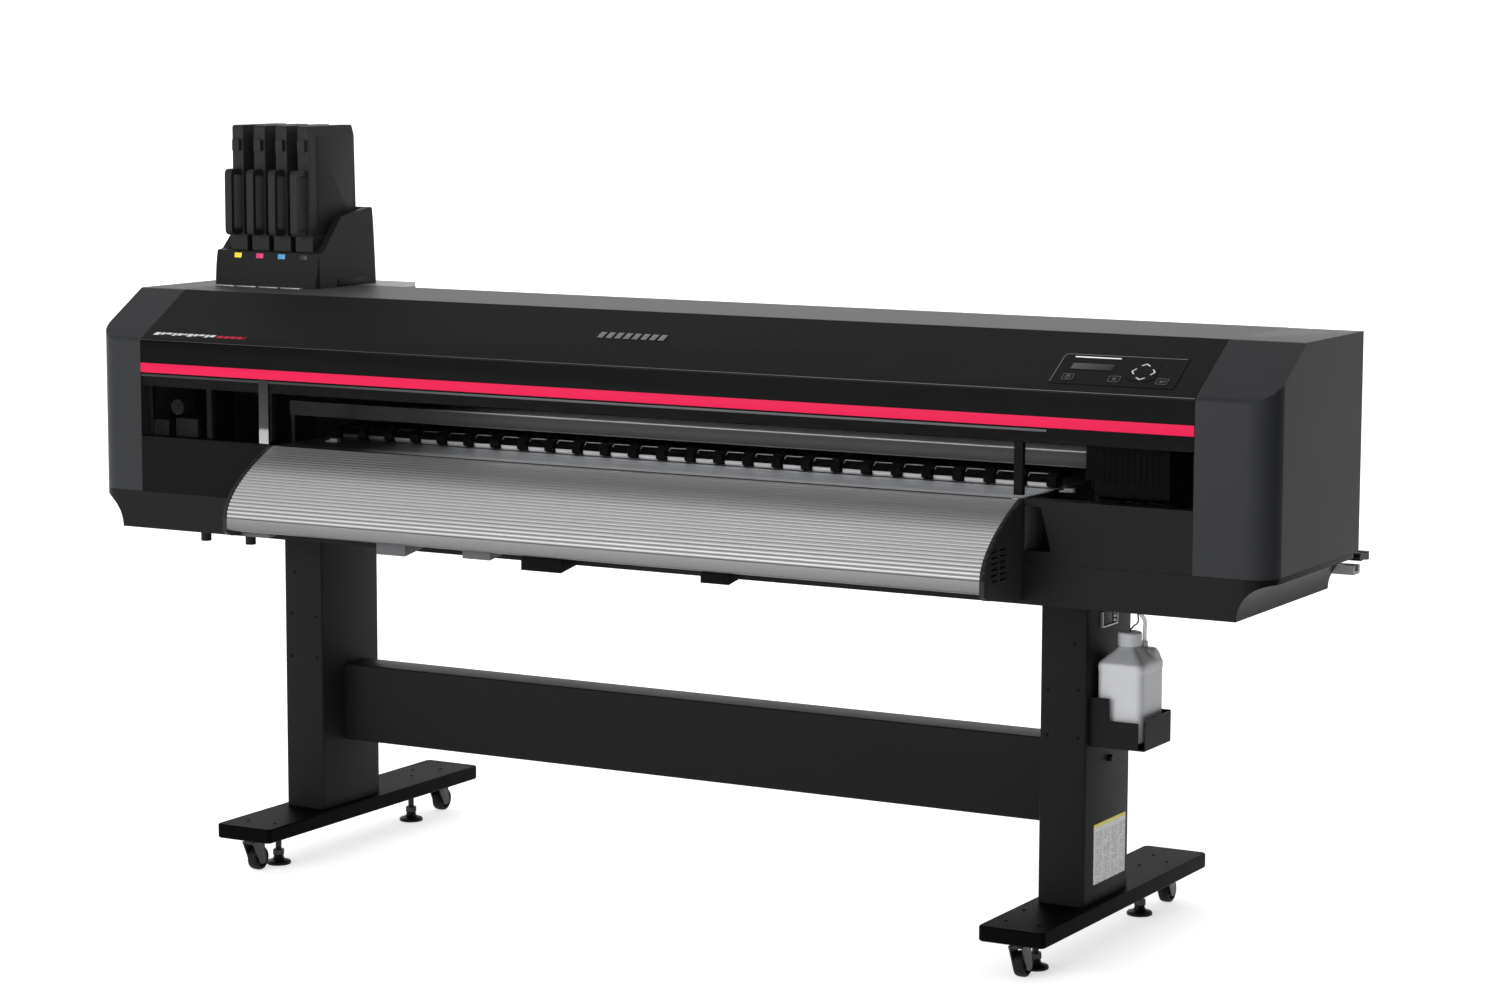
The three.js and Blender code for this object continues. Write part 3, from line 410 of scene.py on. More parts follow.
def stroke(path, width, low, high, closed=False):
    """A bar of rectangular section that follows a path, with its corners mitred."""
    path = np.asarray(path, float)
    side = mitres(path, closed) * width / 2
    flats = [(path + side, low), (path + side, high), (path - side, high), (path - side, low)]
    rings = np.stack([np.column_stack([flat, np.full(len(path), h)]) for flat, h in flats], 1)
    if closed:
        rings = np.concatenate([rings, rings[:1]])
        return rings.reshape(-1, 3), grid_faces(len(rings), 4, True)
    return lofted(list(rings))


def turned(profile, sides=32, centre=(0.0, 0.0), flutes=0, depth=0.0):
    """A body turned about the height axis, from (height, radius) pairs that start and end at radius 0
    or at the same pair. With flutes, the radius falls by a share of up to depth that many times round."""
    profile = np.asarray(profile, float)
    angle = np.arange(sides) * 2 * math.pi / sides
    wave = 1 - depth * (0.5 - 0.5 * np.cos(flutes * angle))
    a = centre[0] + profile[:, 1:2] * wave * np.cos(angle)
    b = centre[1] + profile[:, 1:2] * wave * np.sin(angle)
    height = np.broadcast_to(profile[:, :1], a.shape)
    return np.stack([a, b, height], -1).reshape(-1, 3), grid_faces(len(profile), sides, True)


def moved(shape, a, b, height=0.0):
    points, faces = shape
    return points + np.array([a, b, height]), faces


def piece(name, shapes, lay, finish, body="root", replaces=(), smooth_below=32.0):
    """One object from shapes in their own coordinates, laid on the machine, riding on a body."""
    points = np.vstack([shape_points for shape_points, _ in shapes])
    faces = []
    first = 0
    for shape_points, shape_faces in shapes:
        faces += [[corner + first for corner in face] for face in shape_faces]
        first += len(shape_points)
    obj = put_mesh(name, lay(points), faces, smooth_below)
    obj.data.materials.append(finish.material)
    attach(obj, body)
    if replaces:
        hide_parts(*replaces)
    return obj


def dressed(node, finish, edge=0.0, steps=2, others=(), smooth_below=28.0):
    """A CAD node's solid. With an edge radius in metres, its loose triangles are merged into flat faces
    and its edges rounded. It stands in for the node and moves with the node's body. Others are pairs of
    a second finish and a test of a face's centre, in millimetres, and normal that says where it goes.
    Faces that meet at less than smooth_below degrees are shaded as one surface."""
    source = frame["nodes"][node]
    work = bmesh.new()
    work.from_mesh(source.data)
    bmesh.ops.remove_doubles(work, verts=work.verts, dist=2e-5)
    if edge:
        bmesh.ops.dissolve_limit(work, angle_limit=math.radians(0.6), verts=work.verts, edges=work.edges)
    mesh = bpy.data.meshes.new(node + "_surface")
    work.to_mesh(mesh)
    work.free()
    mesh.shade_smooth()
    mesh.set_sharp_from_angle(angle=math.radians(smooth_below))
    obj = bpy.data.objects.new(mesh.name, mesh)
    scene.collection.objects.link(obj)
    obj.data.materials.append(finish.material)
    shift = Vector((middle_x, middle_y, 0.0))
    for index, (other, test) in enumerate(others, 1):
        obj.data.materials.append(other.material)
        for face in mesh.polygons:
            if test((face.center - shift) / mm, face.normal):
                face.material_index = index
    if edge:
        bevel = obj.modifiers.new("rounded_edges", "BEVEL")
        bevel.width = edge
        bevel.segments = steps
        bevel.limit_method = "ANGLE"
        bevel.angle_limit = math.radians(28)
        bevel.harden_normals = True
    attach(obj, source["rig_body"])
    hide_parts(node)
    return obj


def powder_coat(name, colour, roughness, specular=0.3):
    """Paint baked from powder: a slow roll in gloss and tone, and a fine pebbled skin."""
    finish = Finish(name, colour, roughness, Specular_IOR_Level=specular)
    cloud = finish.noise(3.0, 3.0)
    finish.set("Roughness", roughness - 0.05 + cloud * 0.1)
    finish.tones(cloud, 0.85, 1.15)
    finish.bump(finish.noise(700.0, 2.0), 0.00008, 0.5)
    return finish


def socket_screws(places, radius):
    """Button-head screws at (a, b) places: a low dome with a round dip in its middle."""
    dome = turned([(-0.5, 0), (-0.5, radius), (0.3 * radius, radius * 0.93), (0.5 * radius, radius * 0.7),
                   (0.52 * radius, radius * 0.42), (0.1 * radius, radius * 0.4), (0.1 * radius, 0)], 18)
    return [moved(dome, a, b) for a, b in places]


stand_paint = powder_coat("stand_black", rgb(23, 23, 25), 0.5, 0.07)
foot_paint = powder_coat("foot_black", rgb(6, 6, 7), 0.5, 0.02)
screw_black = Finish("screw_black", rgb(6, 6, 6), 0.4, Specular_IOR_Level=0.1)
screw_black.tones(screw_black.noise(40.0), 0.8, 1.2)
for name in ("left_leg", "right_leg", "cross_beam"):
    dressed(name, stand_paint, 0.0025, 3)
for name in ("left_foot_beam", "right_foot_beam"):
    dressed(name, foot_paint, 0.0015, 2)
leg_screws = [(22, 607), (31, 519), (31, 427), (-33, 515), (-33, 428)]
foot_screws = [(-45, -159), (-38, -254), (-5, 299), (-17, 395), (30, 353), (30, -254)]
for side, sign in (("left", -1), ("right", 1)):
    leg_x = sign * leg_middle
    piece(f"{side}_leg_screws", socket_screws([(leg_x + sign * a, z) for a, z in leg_screws], 3.4),
          facing_front(leg_front), screw_black)
    foot_top = node_box(f"{side}_foot_beam")[1][2]
    piece(f"{side}_foot_screws", socket_screws([(leg_x + sign * a, y) for a, y in foot_screws], 3.6),
          facing_up(foot_top), screw_black)

# ------------------------------------------------------------------ casters and levelling feet
# Forks of black-passivated zinc hold rubber-tyred wheels on plain axles. Beside each, a threaded stem
# of the same finish carries a moulded pad, locked by a nut under the beam.
zinc = Finish("black_zinc", rgb(54, 55, 57), 0.38, 0.8)
zinc.tones(zinc.noise(60.0, 3.0), 0.75, 1.15)
wheel_rubber = Finish("wheel_rubber", rgb(12, 12, 13), 0.55, Specular_IOR_Level=0.15)
wheel_rubber.tones(wheel_rubber.noise(90.0, 4.0), 0.7, 1.3)
wheel_rubber.bump(wheel_rubber.noise(500.0), 0.0001)
pad_black = powder_coat("pad_black", rgb(14, 14, 15), 0.45, 0.15)


def caster_wheel(radius, half_width):
    """A tyre with rounded shoulders, a dished web and a hub, from shares of the half width and of the
    radius on one side, mirrored to the other."""
    side = [(0.35, 0), (0.35, 0.2), (0.95, 0.24), (0.95, 0.34), (0.45, 0.42), (0.45, 0.66), (0.95, 0.74),
            (1.0, 0.86), (0.86, 0.95), (0.5, 1.0)]
    right = [(half_width * h, radius * r) for h, r in side]
    left = [(-h, r) for h, r in right]
    return turned(left + right[::-1], 48)


def threaded_rod(radius, low, high):
    """A thread as rings: the radius falls by 0.7 and rises again once every 3 mm."""
    z = np.arange(low, high, 0.75)
    ripple = radius - 1.4 * np.abs((z / 3.0) % 1.0 - 0.5)
    return turned([(low, 0), *zip(z, ripple), (high, radius), (high, 0)], 20)


for end in ("front", "rear"):
    for side in ("left", "right"):
        dressed(f"caster_fork_{end}_{side}", zinc, 0.0006)
        node = f"caster_wheel_{end}_{side}"
        low, high = node_box(node)
        centre = (low + high) / 2
        wheel = caster_wheel((high[2] - low[2]) / 2, (high[0] - low[0]) / 2)
        piece(f"caster_tyre_{end}_{side}", [moved(wheel, centre[1], centre[2])], facing_right(centre[0]),
              wheel_rubber, node, [node])
        node = f"levelling_foot_{end}_{side}"
        low, high = node_box(node)
        spot = (low + high)[:2] / 2
        reach = (high[0] - low[0]) / 2
        pad = turned([(0, 0), (0, reach - 1.5), (1.5, reach), (5, reach), (7.5, reach - 2), (10, 14),
                      (14, 11), (19, 10), (20, 8), (20, 0)], 40, spot)
        piece(f"levelling_pad_{end}_{side}", [pad], facing_up(0), pad_black, node, [node])
        nut = moved(turned([(20, 0), (20, 12), (21, 13), (31, 13), (32, 12), (32, 0)], 6), *spot)
        stem = moved(threaded_rod(6.8, 19, high[2]), *spot)
        piece(f"levelling_stem_{end}_{side}", [nut, stem], facing_up(0), zinc, node)

# ------------------------------------------------------------------ waste ink bottle
# A blow-moulded polythene can in a folded steel bracket on the right leg. A clear drain hose and a thin
# black sensor cable come down to it from under the body.
def polythene(name, colour, tint):
    """Milky plastic: light scatters a little way in, the wall is cloudy, and the skin has a soft sheen."""
    finish = Finish(name, colour, 0.42, Subsurface_Weight=0.25, Subsurface_Scale=0.008)
    finish.set("Base Color", finish.mix(finish.noise(9.0, 3.0, (1.0, 1.0, 0.45)), tint, colour))
    finish.bump(finish.noise(220.0, 2.0), 0.00012, 0.4)
    return finish


can_low, can_high = node_box("waste_bottle")
cap_box_low, cap_box_high = node_box("bottle_cap")
neck_x, neck_y = (cap_box_low + cap_box_high)[:2] / 2
cap_bottom, cap_top = cap_box_low[2], cap_box_high[2]
cap_radius = (cap_box_high[0] - cap_box_low[0]) / 2
shoulder_z = can_low[2] + 143


def can_ring(z, inset, round_share=0.0, neck_radius=24.0):
    """The can's outline at a height: a rectangle with corner arcs, moved in, and blended with a circle
    about the neck by round_share."""
    outline = box_outline(can_low[0] + inset, can_high[0] - inset,
                          can_low[1] + inset, can_high[1] - inset, 14, 11)
    offset = outline - (can_low + can_high)[:2] / 2
    angle = np.arctan2(offset[:, 1], offset[:, 0])
    circle = np.stack([neck_x + neck_radius * np.cos(angle), neck_y + neck_radius * np.sin(angle)], 1)
    return np.column_stack([outline * (1 - round_share) + circle * round_share, np.full(len(outline), z)])


can_body = lofted([
    can_ring(can_low[2], 9), can_ring(can_low[2] + 1, 4), can_ring(can_low[2] + 4, 1.5),
    can_ring(can_low[2] + 9, 0.9), can_ring(shoulder_z - 9, 0.9), can_ring(shoulder_z - 4, 0.1),
    can_ring(shoulder_z + 3, 0.1), can_ring(shoulder_z + 8, 1.4), can_ring(shoulder_z + 12, 2, 0.12),
    can_ring(shoulder_z + 32, 2, 0.92), can_ring(shoulder_z + 35, 2, 1.0),
    can_ring(cap_bottom - 1, 2, 1.0, 23), can_ring(cap_bottom, 2, 1.0, 19),
    can_ring(cap_bottom + 4, 2, 1.0, 19)])
hump = lofted([
    np.column_stack([box_outline(can_low[0] + 26 + inset, can_high[0] - 2 - inset, neck_y + 10 + inset,
                                 can_high[1] - 2 - inset, 9), np.full(20, shoulder_z + rise)])
    for rise, inset in ((-10, 0), (6, 0.6), (22, 5), (29, 9), (31, 12))])
can_plastic = polythene("can_polythene", rgb(196, 197, 200), rgb(180, 182, 186))
can = piece("waste_can", [can_body, hump], facing_up(0), can_plastic,
            replaces=["waste_bottle"], smooth_below=180.0)
skin = can.modifiers.new("one_skin", "REMESH")
skin.mode = "VOXEL"
skin.voxel_size = 0.0017
skin.use_smooth_shade = True
relax = can.modifiers.new("blown_soft", "SMOOTH")
relax.factor = 0.6
relax.iterations = 5

screw_cap = turned([(cap_bottom, 19), (cap_bottom, cap_radius - 0.6), (cap_bottom + 1, cap_radius),
                    (cap_top - 3, cap_radius - 0.3), (cap_top - 0.8, cap_radius - 2),
                    (cap_top, cap_radius - 4.5), (cap_top - 0.8, cap_radius - 6.5), (cap_top - 0.8, 3.4),
                    (cap_bottom + 8, 3.4), (cap_bottom + 8, 19), (cap_bottom, 19)],
                   144, (neck_x, neck_y), 36, 0.025)
piece("can_cap", [screw_cap], facing_up(0), can_plastic, "bottle_cap", ["bottle_cap"])


def smooth_route(points, steps):
    """Points on a curve that passes through the given ones: between two neighbours, a cubic whose ends
    point along the line from the neighbour before to the one after."""
    points = np.asarray(points, float)
    ghost = np.vstack([2 * points[0] - points[1], points, 2 * points[-1] - points[-2]])
    t = np.linspace(0, 1, steps, endpoint=False)[:, None]
    spans = []
    for p0, p1, p2, p3 in zip(ghost, ghost[1:], ghost[2:], ghost[3:]):
        cubic = 2 * p0 - 5 * p1 + 4 * p2 - p3 + t * (3 * (p1 - p2) + p3 - p0)
        spans.append(p1 + 0.5 * t * (p2 - p0 + t * cubic))
    return np.vstack([*spans, points[-1:]])


def pipe(route, radius, sides=20):
    """A round section carried along a route. Each ring stands square to the route and is turned as
    little as possible from the ring before."""
    ahead = np.gradient(route, axis=0)
    ahead /= np.linalg.norm(ahead, axis=1)[:, None]
    side = np.cross(ahead[0], [1.0, 0.1, 0.1])
    angle = np.arange(sides) * 2 * math.pi / sides
    rings = []
    for point, direction in zip(route, ahead):
        side = side - direction * np.dot(side, direction)
        side /= np.linalg.norm(side)
        other = np.cross(direction, side)
        rings.append(point + radius * (np.outer(np.cos(angle), side) + np.outer(np.sin(angle), other)))
    return lofted(rings)


port_x, port_y, port_z = 1002.0, 16.0, 606.0
hole_x, hole_y = 988.0, 10.0
tray_bottom = 700.5
hose_route = [(hole_x - 5, hole_y, tray_bottom), (hole_x - 2, hole_y, 672), (port_x - 1, port_y + 1, 646),
              (port_x, port_y, 628), (port_x, port_y, port_z + 6), (port_x, port_y, port_z - 8)]
cable_route = [(hole_x + 7, hole_y - 4, tray_bottom), (hole_x + 5, hole_y - 8, 668),
               (hole_x + 8, hole_y - 12, 645), (hole_x + 1, hole_y - 18, 637), (neck_x + 4, neck_y + 2, 634),
               (neck_x, neck_y, 629), (neck_x, neck_y, cap_top - 13)]
hose_clear = Finish("hose_clear", rgb(214, 217, 219), 0.12, Specular_IOR_Level=0.7)
hose_clear.set("Alpha", 0.55 + hose_clear.noise(80.0) * 0.2)
piece("drain_tube", [pipe(smooth_route(hose_route, 8), 4.0)], facing_up(0), hose_clear,
      replaces=["drain_hose"])
cable_black = Finish("cable_black", rgb(14, 14, 15), 0.4)
cable_black.tones(cable_black.noise(200.0), 0.8, 1.2)
piece("level_cable", [pipe(smooth_route(cable_route, 8), 1.6, 12)], facing_up(0), cable_black,
      replaces=["sensor_cable"])
port_bottom = port_z - 12
port_wall = [(port_bottom, 4.2), (port_bottom, 6.5), (port_z, 6.5), (port_z, 4.2), (port_bottom, 4.2)]
port_collar = turned(port_wall, 24, (port_x, port_y))
piece("can_port", [port_collar], facing_up(0), can_plastic)
dressed("bottle_bracket", stand_paint, 0.0008)

# ------------------------------------------------------------------ fittings on the right leg's side
# A clamp knob under the bottle, a printed sheet of notes with a yellow head, and a small framed block of
# signal sockets close under the body.
knob = turned([(0, 0), (0, 5.5), (1.5, 7.5), (6, 7.5), (8, 6.2), (8.6, 3.5), (7.6, 0)], 40, (17, 373),
              5, 0.14)
piece("clamp_knob", [knob], facing_right(leg_side), screw_black)

notes_paper = Finish("notes_paper", rgb(214, 215, 216), 0.5, Specular_IOR_Level=0.1)
rows = (notes_paper.along("Z") * (1 / 0.0032)).fraction().above(0.45)
columns = (notes_paper.along("Y") * (1 / 0.037) + 0.28).fraction().above(0.12)
words = notes_paper.noise(160.0, 1.0, (1.0, 1.0, 2.2)).above(0.44)
printed = rows * columns * words * notes_paper.along("Z").below(0.238)
sheet_colour = notes_paper.mix(printed, notes_paper.colour, rgb(164, 165, 167))
head = notes_paper.along("Z").above(0.2465)
notes_paper.set("Base Color", notes_paper.mix(head, sheet_colour, rgb(226, 214, 106)))
piece("notes_sheet", [plate(box_outline(-49, 100, 136, 253, 2), 0, 0.35)], facing_right(leg_side),
      notes_paper)

socket_metal = Finish("socket_metal", rgb(172, 174, 176), 0.35, 0.7)
socket_metal.tones(socket_metal.noise(300.0), 0.7, 1.1)
socket_bars = [stroke([(-30, 662), (-30, 633), (38, 633), (38, 662)], 2.5, 0, 5)]
socket_pins = [plate(box_outline(y, y + 4.5, 637 + 8 * step, 643 + 8 * step, 0.6), 0, 4, 0.4)
               for y in (22, 29) for step in range(3)]
piece("socket_frame", socket_bars + socket_pins, facing_right(leg_side), socket_metal)
piece("socket_block", [plate(box_outline(-27, 18, 636, 664, 1), 0, 2.5, 0.4)], facing_right(leg_side),
      screw_black)

# ------------------------------------------------------------------ end caps, tray, top and lower panels
# Satin moulded end caps stand on a painted tray whose ends curve up from below. Painted sheets close the
# top and the front beside the apron; in the right one's hand recess, the wall facing right is painted light.
body_front = node_box("lower_left_panel")[0][1]
body_rear = -body_front
cap_paint = powder_coat("cap_grey", rgb(46, 47, 49), 0.45, 0.11)
body_paint = powder_coat("body_black", rgb(24, 24, 25), 0.45, 0.08)
recess_wall_painted_light = powder_coat("recess_wall_painted_light", rgb(86, 85, 90), 0.45)
for side in ("left", "right"):
    dressed(f"{side}_end_cap", cap_paint, 0.003, 3)
# The tray's ends darken to half their colour towards the outer sides: painted shade on the curved ends.
tray_paint_shaded_ends = powder_coat("tray_black_shaded_ends", rgb(24, 24, 25), 0.45, 0.08)
tray_paint_shaded_ends.tones((tray_paint_shaded_ends.along("X") - middle_x).size().between(1.27, 1.33), 1.0, 0.5)
dressed("base_tray", tray_paint_shaded_ends, 0.002, 3)
# The left lower panel gets a darker copy of the body paint as painted shade.
left_panel_painted_shade = powder_coat("left_panel_painted_shade_black", rgb(14, 14, 15), 0.45, 0.05)
dressed("lower_left_panel", left_panel_painted_shade, 0.0008)
# The recess wall that faces right is light grey: painted light falling in from the right.
dressed("lower_right_panel", body_paint, smooth_below=2.0,
        others=[(recess_wall_painted_light, lambda c, n: n.x > 0.9 and c.x < 866 and c.y > body_front + 1)])

top_paint = Finish("top_grey", rgb(69, 69, 70), 0.5, Specular_IOR_Level=0.1)
streaks = top_paint.noise(1.0, 4.0, (260.0, 9.0, 1.0), 0.7)
bands = top_paint.noise(1.0, 2.0, (1.6, 30.0, 1.0))
top_paint.tones(streaks * 0.65 + bands * 0.35, 0.72, 1.28)
dressed("top_panel", top_paint, 0.001)

# ------------------------------------------------------------------ back panel and roll holders
# The back sheet has a slot for the media, a mains socket and a grey shelf under the ink dock. An
# extruded rail along the tray carries two sliding arms with hubs for the roll core.
shelf_grey = powder_coat("shelf_grey", rgb(128, 129, 131), 0.45, 0.4)
socket_black = Finish("socket_black", rgb(10, 10, 11), 0.35, Specular_IOR_Level=0.1)
socket_black.tones(socket_black.noise(90.0), 0.8, 1.2)
dressed("rear_panel", body_paint, 0.0008, others=[
    (shelf_grey, lambda c, n: c.z > 1175 and c.y > 231),
    (socket_black, lambda c, n: 1070 < c.x < 1138 and 796 < c.z < 838)])
rear_screws = [(x, z) for x in (-1180, -890, -300, 300, 890, 1180) for z in (795, 1160)]
piece("rear_panel_screws", socket_screws(rear_screws, 3.4), facing_back(body_rear), screw_black)
slot_brush = powder_coat("slot_brush", rgb(8, 8, 9), 0.8, 0.02)
piece("media_slot_brush", [plate(box_outline(-861, 861, 889, 929, 2), -3, 0, 0.5)],
      facing_back(body_rear - 2), slot_brush)
slat = plate(box_outline(0, 48, 1004, 1009, 2.4), -0.5, 0.7, 0.5)
slats = [moved(slat, x + 70 * group, 11 * row)
         for x in (-700, 470) for group in range(3) for row in range(7)]
piece("rear_louvres", slats, facing_back(body_rear), socket_black)
socket_pin = plate(box_outline(-1.4, 1.4, -3, 3, 0.6), -18, -4)
piece("mains_pins", [moved(socket_pin, 1095 + dx, 817 + dz) for dx, dz in ((-5, -2), (5, -2), (0, 3))],
      facing_back(body_rear), zinc)
rail_grey = powder_coat("rail_grey", rgb(150, 152, 154), 0.4, 0.45)
holder_black = powder_coat("holder_black", rgb(18, 18, 19), 0.4, 0.12)
dressed("roll_rail", rail_grey, 0.0008)
dressed("load_lever", holder_black, 0.002, 3)
for side, sign in (("left", -1), ("right", 1)):
    node = f"roll_holder_{side}"
    dressed(node, holder_black, 0.0015, 3)
    hub_face = facing_left if sign > 0 else facing_right
    rings = []
    for radius in (12, 28):
        rim = [(0, radius - 2), (0, radius + 2), (1.5, radius + 1), (1.5, radius - 1), (0, radius - 2)]
        rings.append(turned(rim, 40, (345, 830)))
    piece(f"roll_hub_rings_{side}", rings, hub_face(sign * 820), rail_grey, node)

# ------------------------------------------------------------------ platen, feed and pinch rollers
# The sheet slides over a folded metal platen. Grey pinch rollers press it on a steel feed roller; each
# hangs between black arms from a shaft, under a small bright spring plate.
platen_metal = Finish("platen_metal", rgb(132, 134, 137), 0.38, 0.3)
grain = platen_metal.noise(1.0, 4.0, (14.0, 500.0, 1.0), 0.65)
# The platen is brightened to pale grey as painted light under the cover, and fades to dark grey towards its
# left end as painted shade; the grain and the two scored lines are its own.
platen_lit = platen_metal.mix(grain, rgb(182, 184, 187), rgb(214, 216, 219))
platen_shaded_left = platen_metal.mix(platen_metal.along("X").between(-0.68, -0.5), rgb(46, 47, 50), platen_lit)
score = platen_metal.along("Y").near(-0.149, 0.0011) + platen_metal.along("Y").near(-0.189, 0.0011)
platen_metal.set("Base Color", platen_metal.mix(score, platen_shaded_left, rgb(30, 30, 32)))
dressed("platen", platen_metal, 0.0008)
roller_steel = Finish("roller_steel", rgb(165, 166, 168), 0.3, 1.0)
roller_steel.tones(roller_steel.noise(400.0, 2.0), 0.6, 1.1)
roller_steel.bump(roller_steel.noise(1500.0), 0.0001)
dressed("feed_roller", roller_steel)
roller_grey = Finish("roller_grey", rgb(190, 191, 193), 0.5)
# Painted shade: the pinch rollers are dark grey at the left and near white further right.
rollers_lit = roller_grey.along("X").between(-0.75, -0.45)
roller_grey.set("Base Color", roller_grey.mix(rollers_lit, rgb(40, 40, 42), rgb(235, 236, 238)))
dressed("pinch_rollers", roller_grey, 0.0012, 2)
inner_black = powder_coat("inner_black", rgb(9, 9, 10), 0.5, 0.04)
dressed("pinch_arm_bar", inner_black, 0.0006)

spring_plate = Finish("spring_plate", rgb(178, 180, 183), 0.5)
spring_noise = spring_plate.noise(1.0, 0.0, (9.0, 2.0, 2.0))
spring_tone = spring_plate.mix(spring_noise, (0.03, 0.03, 0.031), (1.1, 1.1, 1.12))
# Painted shade: the spring plates fade to near black towards the left.
spring_plates_shaded_left = spring_plate.along("X").between(-0.7, -0.4)
spring_plate.set("Base Color", spring_plate.mix(spring_plates_shaded_left, (0.012, 0.012, 0.013), spring_tone))
on_arms = sloping(-70.5, 907.2, math.atan2(13.0, 16.5))
roller_places = [20 + (index - 12) * 66 for index in range(25)]
wire_bright = Finish("wire_bright", rgb(200, 201, 203), 0.4)
# Painted shade: the spring wires are near black at the left and light grey further right.
wires_lit = wire_bright.along("X").between(-0.7, -0.4)
wire_bright.set("Base Color", wire_bright.mix(wires_lit, rgb(14, 14, 15), rgb(190, 191, 193)))
springs = [plate(box_outline(x - 21, x + 21, 1.0, 20.5, 1.5), -0.2, 0.8, 0.3) for x in roller_places]
piece("spring_plates", springs, on_arms, spring_plate, "pinch_arm_bar")
wire = stroke([(-21, 13), (-21, 22), (21, 22), (21, 13)], 1.6, 0.6, 2.0)
wires = [moved(wire, x, 0) for x in roller_places]
piece("spring_wires", wires, on_arms, wire_bright, "pinch_arm_bar")

beam_metal = Finish("beam_metal", rgb(52, 52, 55), 0.34, 0.3)
# Painted highlights: bright lines along the bottom and top of the beam's dark face. Painted shade: the beam
# fades to near black towards the left, and its ends are near black too.
rise = beam_metal.along("Z").between(0.938, 0.970)
beam_painted_highlight_lines = beam_metal.ramp(rise, (0.0, 0.1), (0.05, 0.1), (0.08, 0.015), (0.5, 0.045), (0.9, 0.03),
                             (0.94, 0.45), (1.0, 0.45))
beam_ends = (beam_metal.along("X") - middle_x).size().below(0.925)
beam_lit = beam_metal.along("X").between(-0.62, -0.42) * beam_ends
beam_metal.set("Base Color", beam_metal.mix(beam_lit, (0.006, 0.006, 0.007), beam_painted_highlight_lines))
dressed("pinch_beam", beam_metal, 0.0022, 3)
clips = []
for x, y in ((888, -93), (-785, -114)):
    clips += [plate(box_outline(x - 15, x + 15, y - 9, y + 9, 3), 0, 2.2, 0.6),
              plate(box_outline(x - 7, x + 13, y - 5, y + 5, 2.5), 2, 6.5, 1.2)]
clip_grey = powder_coat("clip_grey", rgb(160, 161, 163), 0.45, 0.4)
piece("hold_down_clips", clips, facing_up(895.6), clip_grey)

# ------------------------------------------------------------------ rail, carriage, cutter and belt
# A box rail spans the machine. The carriage hangs on it in a black hood and carries the cutter holder;
# a toothed belt round two pulleys draws it. It parks over a tray of soft cups.
rail_metal = powder_coat("rail_metal", rgb(9, 9, 10), 0.5, 0.04)
dressed("rail_beam", rail_metal, 0.001)
dressed("carriage", inner_black, 0.003, 3)
dressed("capping_station", inner_black, 0.0012)
dressed("cutter_holder", inner_black, 0.001)
pulley_steel = Finish("pulley_steel", rgb(120, 122, 125), 0.3, 0.9)
pulley_steel.tones(pulley_steel.noise(120.0), 0.7, 1.1)
belt_rubber = Finish("belt_rubber", rgb(16, 16, 17), 0.6)
teeth = (belt_rubber.along("X") * (1 / 0.005)).fraction()
belt_rubber.tones(teeth.above(0.5), 0.7, 1.3)
belt_rubber.bump(teeth.above(0.5), 0.0006)
dressed("drive_belt", belt_rubber)
for name in ("idler_pulley", "drive_pulley"):
    dressed(name, pulley_steel, 0.0004)
hood_ribs = [plate(box_outline(x, x + 4, 930, 1010, 1.8), 0, 1.6, 0.7) for x in range(1002, 1122, 12)]
piece("carriage_hood_ribs", hood_ribs, facing_front(-190), inner_black, "carriage")
service_metal = Finish("service_metal", rgb(44, 45, 46), 0.5, Specular_IOR_Level=0.05)
service_metal.tones(service_metal.noise(14.0, 3.0), 0.2, 1.0)
service_blocks = [
    plate(box_outline(-1195, -1187, 896, 1007, 0.8), 0, 12, 0.6),
    plate(box_outline(-1044, -1031, 896, 1012, 0.8), 0, 12, 0.6),
    plate(box_outline(-1184, -1144, 896, 929, 3), 0, 12, 1.4),
    plate(box_outline(-1126, -1068, 896, 935, 4), 0, 12, 1.4)]
piece("service_blocks", service_blocks, facing_front(-193), service_metal)
drum = turned([(0, 0), (0, 17), (11, 17), (12, 16), (12, 6), (13.5, 5), (13.5, 0)], 40, (-1121, 958))
piece("service_drum", [drum], facing_front(-193), service_metal)

# ------------------------------------------------------------------ apron
# The sheet leaves over a ribbed apron of anodised aluminium that curves down to an upright lip, between
# two black end plates with air slots. Folded brackets hold it from below.
def apron_curve(share, offset):
    """A point on the cubic Bezier curve from the platen to the lip at a share of the curve's length,
    moved off it to the front by an offset."""
    corners = np.array([(-232.2, 895.0), (-300.0, 868.0), (-393.5, 812.0), (-393.5, 762.0)])
    t = np.linspace(0, 1, 600)[:, None]
    curve = ((1 - t) ** 3 * corners[0] + 3 * t * (1 - t) ** 2 * corners[1]
             + 3 * t ** 2 * (1 - t) * corners[2] + t ** 3 * corners[3])
    walk = np.linalg.norm(np.diff(curve, axis=0), axis=1)
    length = np.concatenate([[0], np.cumsum(walk)])
    ahead = np.gradient(curve, axis=0)
    ahead /= np.linalg.norm(ahead, axis=1)[:, None]
    front = np.stack([ahead[:, 1], -ahead[:, 0]], 1)
    spot = np.asarray(share) * length[-1]
    base = np.stack([np.interp(spot, length, curve[:, axis]) for axis in (0, 1)], -1)
    out = np.stack([np.interp(spot, length, front[:, axis]) for axis in (0, 1)], -1)
    return base + out * np.reshape(offset, (-1, 1))


